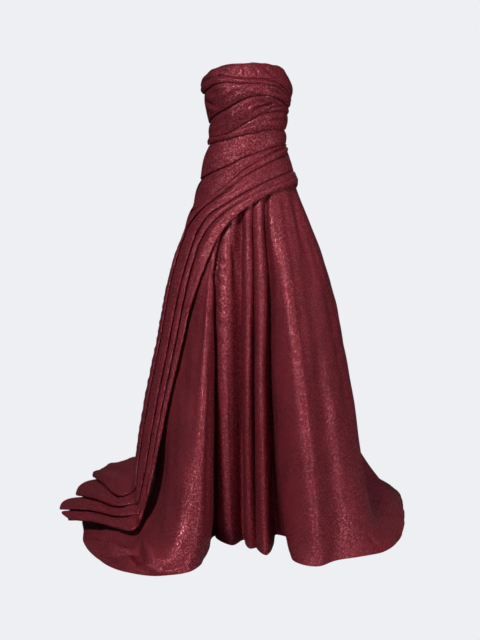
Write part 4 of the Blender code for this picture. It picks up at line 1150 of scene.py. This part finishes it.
    back_creases: tuple[Crease, ...] = (
        Crease("side train first", (21.8, 0.895), (22.2, 0.905), (22.5, 0.93), 9, -9.0),
        Crease("side train second", (21.4, 0.91), (21.8, 0.945), (22.2, 0.975), 9, -9.0),
        Crease("side train third", (22.2, 0.84), (22.5, 0.855), (22.7, 0.88), 10, -6.0),
        Crease("side train ridge", (22.5, 0.86), (22.9, 0.90), (23.3, 0.96), 11, 6.0),
        Crease("train upper", (23.3, 0.84), (23.6, 0.89), (23.8, 0.95), 12, -6.8),
        Crease("train upper ridge", (23.7, 0.82), (24.0, 0.88), (24.2, 0.94), 13, 5.4),
        Crease("right hip fall", (22.6, 0.16), (22.8, 0.35), (22.9, 0.55), 16, -3.9),
        Crease("right back fall", (24.4, 0.14), (24.5, 0.30), (24.6, 0.52), 14, 3.9),
        Crease("train sweep right", (25.4, 0.55), (25.6, 0.75), (25.8, 0.93), 22, 6.0),
        Crease("train valley right", (26.4, 0.50), (26.5, 0.72), (26.5, 0.92), 20, -6.0),
        Crease("inner sweep right", (27.4, 0.45), (27.4, 0.70), (27.3, 0.92), 20, 5.2),
        Crease("inner sweep left", (28.6, 0.40), (28.7, 0.68), (28.6, 0.92), 20, -4.8),
        Crease("train valley left", (29.5, 0.50), (29.6, 0.72), (29.4, 0.90), 20, 5.4),
        Crease("train sweep left", (30.5, 0.45), (30.4, 0.70), (30.5, 0.92), 22, -5.4),
        Crease("left back fall", (31.5, 0.14), (31.5, 0.34), (31.4, 0.55), 15, 3.9),
        Crease("left side buckle", (32.3, 0.86), (32.6, 0.90), (32.7, 0.96), 12, -6.0),
        Crease("left side ridge", (31.4, 0.84), (31.7, 0.90), (31.8, 0.96), 13, 6.0),
        Crease("left hip fall", (33.3, 0.18), (33.4, 0.38), (33.4, 0.60), 15, -3.9),
    )
    waves: tuple[Wave, ...] = (
        Wave(0.150, 1.300, 0.9, 0.15),
        Wave(0.083, -0.700, 0.5, 0.55),
        Wave(0.190, 0.240, 0.5, 0.35),
    )

    def fold_curve(self, fold: Fold, steps: np.ndarray) -> np.ndarray:
        """A fold's way down the skirt, from the waist seam to the hem.

        Args:
            fold: The ridge or groove.
            steps: Shares of its way.

        Returns:
            A point for each step.
        """
        top_height = float(seam_height(fold.bearing)) - SEAM_GAP
        thigh = np.array((*fold.thigh, self.thigh_height)) * MILLIMETRE
        halves = np.array(FORM.halves(fold.bearing, thigh[2]))
        stations = [FORM.point(fold.bearing, top_height, HIDDEN_LIFT)]
        for level in self.fullness:
            height = top_height - level.drop
            on_form = FORM.point(fold.bearing, height)
            across, along = thigh[:2] * np.array(FORM.halves(fold.bearing, height)) / halves
            is_groove = math.hypot(across, along) < math.hypot(on_form[0], on_form[1])
            opened = level.groove if is_groove else level.ridge
            stations.append(on_form + opened * (np.array((across, along, height)) - on_form))
        hem = np.array(fold.hem) * MILLIMETRE + np.array((0.0, 0.0, self.hem_clearance))
        knee = np.array((*fold.knee, self.knee_height)) * MILLIMETRE
        stations += [thigh, knee, np.array(fold.shin) * MILLIMETRE, hem]
        points = smooth(steps, self.stations, stations)
        points[:, 2] = np.maximum(points[:, 2], hem[2])
        return points

    def round_gaps(self) -> list[int]:
        """Whether a round pleat runs to the next fold: 1 from a ridge, -1 from a groove, or 0."""
        names = [fold.name for fold in self.folds]
        first, last = (names.index(name) for name in self.round_folds)
        return [
            (-1 if "groove" in name else 1) if first <= i < last and name != self.slack_fold else 0
            for i, name in enumerate(names)
        ]

    def round_shares(self, t: float, kind: int) -> np.ndarray:
        """Shares across, along and up of a round pleat's way from one fold to the next."""
        angle = t * math.pi / 2
        if kind < 0:
            return np.array((1 - math.cos(angle), math.sin(angle), t))
        return np.array((math.sin(angle), 1 - math.cos(angle), t))

    def ring(self, points: np.ndarray) -> np.ndarray:
        """A closed smooth ring of columns through the folds, with its round pleats."""
        columns = []
        kinds = self.round_gaps()
        count = len(points)
        for i in range(count):
            before, start = points[i - 1], points[i]
            end, after = points[(i + 1) % count], points[(i + 2) % count]
            chord = np.linalg.norm(end - start, axis=-1, keepdims=True) + 1e-9
            chord_before = np.linalg.norm(start - before, axis=-1, keepdims=True) + 1e-9
            chord_after = np.linalg.norm(after - end, axis=-1, keepdims=True) + 1e-9
            slope_start = (end - before) / (chord + chord_before) * chord
            slope_end = (after - start) / (chord + chord_after) * chord
            for k in range(self.columns_per_fold):
                t = k / self.columns_per_fold
                column = between(t, start, slope_start, end, slope_end)
                if kinds[i]:
                    pleat = start + (end - start) * self.round_shares(t, kinds[i])
                    column += self.roundness * (pleat - column)
                columns.append(column)
        return np.array(columns)

    def panels(self) -> dict[str, ClothGrid]:
        """The three panels by name, before they are creased."""
        count = (len(self.steps) - 1) * self.rows_per_step + 1
        steps = np.interp(
            np.arange(count) / self.rows_per_step, np.arange(len(self.steps)), self.steps
        )
        ring = self.ring(np.array([self.fold_curve(fold, steps) for fold in self.folds]))
        around = np.arange(len(ring)) / self.columns_per_fold
        knots = [fold.bearing for fold in self.folds] + [self.folds[0].bearing + 360]
        bearings = np.interp(around, np.arange(len(knots)), knots)
        seam = FORM.point(bearings, seam_height(bearings) - SEAM_GAP, HIDDEN_LIFT)
        easing = np.clip(1 - steps / self.top_easing, 0.0, 1.0)
        ring += (seam - ring[:, 0])[:, None, :] * easing[:, None]
        names = [fold.name for fold in self.folds]
        right = names.index("right seam") * self.columns_per_fold
        back = names.index("back seam") * self.columns_per_fold
        spans = {
            "skirt_front": (0, right),
            "skirt_back_right": (right, back),
            "skirt_back_left": (back, len(ring)),
        }
        made = {}
        for name, (first, last) in spans.items():
            index = np.arange(first, last + 1)
            panel = ring[index % len(ring)].copy()
            for end, beside in ((0, 1), (-1, -2)):
                away = panel[beside] - panel[end]
                away /= np.linalg.norm(away, axis=-1, keepdims=True)
                panel[end] += self.seam_part * SEAM_GAP * away
            made[name] = ClothGrid(np.swapaxes(panel, 0, 1), index / self.columns_per_fold, steps)
        return made

    def pieces(self) -> list[ClothPiece]:
        """The three panels, creased."""
        made = []
        for name, grid in self.panels().items():
            creases = self.front_creases if name == "skirt_front" else self.back_creases
            grid.crease(creases, self.waves)
            grid.points[..., 2] = np.maximum(grid.points[..., 2], self.hem_clearance)
            made.append(ClothPiece(name, grid, "gathered"))
        return made


@dataclass
class Zip:
    """The concealed zip down the back: its finishes, and the teeth inside its tape."""

    neck: float = 1.346
    teeth_below_neck: tuple[float, float] = (0.024, 0.200)
    tape: float = 0.0010
    rise: float = 0.0066
    pitch: float = 0.0022
    tooth: tuple[float, float, float] = (0.0022, 0.0010, 0.0011)
    overlap: float = 0.0007

    def build(self, frame: dict, finishes: Finishes) -> None:
        """Dresses the zip's nodes and adds its teeth.

        Args:
            frame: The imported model's bodies and nodes.
            finishes: The gown's materials.
        """
        looks = {"zip_tape": finishes.tape, "zip_slider": finishes.metal, "zip_pull": finishes.metal}
        for node, material in looks.items():
            piece = frame["nodes"][node]
            piece.data.materials.clear()
            piece.data.materials.append(material)
        self.teeth(finishes)

    def teeth(self, finishes: Finishes) -> bpy.types.Object:
        """Two rows of interlocked teeth on the tape's inner face, joined into one piece."""
        out = self.rise - CLOTH - 2 * SEAM_GAP - self.tape - self.tooth[1] / 2
        first, last = self.teeth_below_neck
        heights = np.arange(self.neck - first, self.neck - last, -self.pitch)
        deselect()
        bpy.ops.mesh.primitive_cube_add(size=1.0)
        tooth = bpy.context.object
        tooth.scale = self.tooth
        bpy.ops.object.transform_apply(location=False, rotation=False, scale=True)
        copies = [tooth]
        for i, height in enumerate(heights):
            made = tooth if i == 0 else tooth.copy()
            if i:
                made.data = tooth.data.copy()
                bpy.context.scene.collection.objects.link(made)
                copies.append(made)
            y = float(FORM.point(180.0, height, out)[1])
            x = self.overlap if i % 2 else -self.overlap
            made.location = (x, y, height - WAIST_HEIGHT)
        deselect()
        for made in copies:
            made.select_set(True)
        bpy.context.view_layer.objects.active = tooth
        bpy.ops.object.join()
        bpy.ops.object.transform_apply(location=True, rotation=False, scale=False)
        tooth.name = "zip_teeth"
        tooth.data.materials.clear()
        tooth.data.materials.append(finishes.tape)
        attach(tooth, "gown")
        LOG.info("zip_teeth: %d teeth", len(heights))
        return tooth


class Lamp(NamedTuple):
    """A square soft light: its place, the point it faces, side, watts and spread in degrees."""

    name: str
    place: tuple[float, float, float]
    at: tuple[float, float, float]
    size: float
    power: float
    spread: float = 180.0


@dataclass
class Studio:
    """The pale floor and surround, the soft lights and the camera at the photo's angle."""

    pale: Colour = (0.855, 0.863, 0.896, 1.0)
    ambient: Colour = (0.90, 0.94, 1.0, 1.0)
    ambient_strength: float = 0.06
    floor_radius: float = 40.0
    floor_drop: float = 0.0006
    floor_colour: Colour = (0.30, 0.30, 0.31, 1.0)
    floor_sides: int = 96
    lamps: tuple[Lamp, ...] = (
        Lamp("key", (-1.5, -4.4, 3.1), (0.15, 0.0, -1.0), 0.6, 23.5, 50.0),
        Lamp("front", (-0.6, -4.4, -0.4), (0.0, 0.0, -0.90), 0.8, 13.0),
        Lamp("fill", (3.5, -2.2, 0.0), (0.1, 0.0, -0.80), 1.2, 54.0),
        Lamp("back", (0.8, 3.8, 2.2), (0.0, 0.3, -0.40), 2.0, 16.0),
    )
    camera_place: tuple[float, float, float] = (-0.018, -4.2, -0.15)
    camera_tilt: float = 5.44
    focal_pixels: float = 1404.0
    long_side_pixels: float = 640.0
    sensor: float = 36.0

    def build(self) -> None:
        """Builds the floor, the lights, the surround and the camera."""
        self.floor()
        self.surround()
        for lamp in self.lamps:
            self.light(lamp)
        self.camera()
        bpy.context.scene.view_settings.view_transform = "Standard"

    def pale_to_camera(self, tree: bpy.types.NodeTree, glow: str, other: object) -> object:
        """A shader that the camera sees as the pale backdrop, and all else as the other.

        Args:
            tree: The node tree to add it to.
            glow: Type of the node that gives the pale light.
            other: The shader that lights the gown.

        Returns:
            The mixed shader's output.
        """
        pale = tree.nodes.new("ShaderNode" + glow)
        pale.inputs["Color"].default_value = self.pale
        pale.inputs["Strength"].default_value = 1.0
        path = tree.nodes.new("ShaderNodeLightPath")
        mixed = tree.nodes.new("ShaderNodeMixShader")
        tree.links.new(path.outputs["Is Camera Ray"], mixed.inputs[0])
        tree.links.new(other, mixed.inputs[1])
        tree.links.new(pale.outputs[0], mixed.inputs[2])
        return mixed.outputs[0]

    def floor(self) -> None:
        """A wide round floor with the backdrop's own tone."""
        deselect()
        place = (0.0, 0.0, -WAIST_HEIGHT - self.floor_drop)
        bpy.ops.mesh.primitive_circle_add(
            vertices=self.floor_sides, radius=self.floor_radius, fill_type="NGON", location=place
        )
        floor = bpy.context.object
        floor.name = "floor"
        nodes = Nodes("pale floor")
        nodes.shader.inputs["Base Color"].default_value = self.floor_colour
        nodes.shader.inputs["Roughness"].default_value = 0.9
        nodes.shader.inputs["Specular IOR Level"].default_value = 0.1
        surface = self.pale_to_camera(nodes.tree, "Emission", nodes.shader.outputs[0])
        nodes.give(nodes.tree.nodes["Material Output"].inputs["Surface"], surface)
        floor.data.materials.append(nodes.material)

    def surround(self) -> None:
        """An even pale surround that lights the gown softly."""
        world = bpy.data.worlds.new("pale studio")
        world.use_nodes = True
        tree = world.node_tree
        background = tree.nodes["Background"]
        background.inputs["Color"].default_value = self.ambient
        background.inputs["Strength"].default_value = self.ambient_strength
        surface = self.pale_to_camera(tree, "Background", background.outputs[0])
        tree.links.new(surface, tree.nodes["World Output"].inputs["Surface"])
        bpy.context.scene.world = world

    def light(self, lamp: Lamp) -> None:
        """Adds a square soft light.

        Args:
            lamp: Its place, aim, size, power and spread.
        """
        deselect()
        bpy.ops.object.light_add(type="AREA", location=lamp.place)
        light = bpy.context.object
        light.name = lamp.name
        light.data.size = lamp.size
        light.data.energy = lamp.power
        light.data.spread = math.radians(lamp.spread)
        towards = np.array(lamp.at) - np.array(lamp.place)
        tilt = math.acos(-towards[2] / np.linalg.norm(towards))
        turn = math.atan2(towards[1], towards[0]) - math.pi / 2
        light.rotation_euler = (tilt, 0.0, turn)

    def camera(self) -> None:
        """Adds the camera and makes it the scene's."""
        tilt = math.radians(90 - self.camera_tilt)
        bpy.ops.object.camera_add(location=self.camera_place, rotation=(tilt, 0.0, 0.0))
        camera = bpy.context.object
        camera.name = "camera"
        camera.data.sensor_width = self.sensor
        camera.data.lens = self.sensor * self.focal_pixels / self.long_side_pixels
        bpy.context.scene.camera = camera


def main() -> None:
    """Builds the studio and every piece of the gown, and dresses the zip."""
    logging.basicConfig(level=logging.INFO, format="%(name)s: %(message)s")
    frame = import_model()
    Studio().build()
    finishes = Finishes()
    for part in (Bodice(), Sash(), Skirt()):
        for piece in part.pieces():
            piece.build(finishes)
    Zip().build(frame, finishes)


if __name__ == "__main__":
    main()
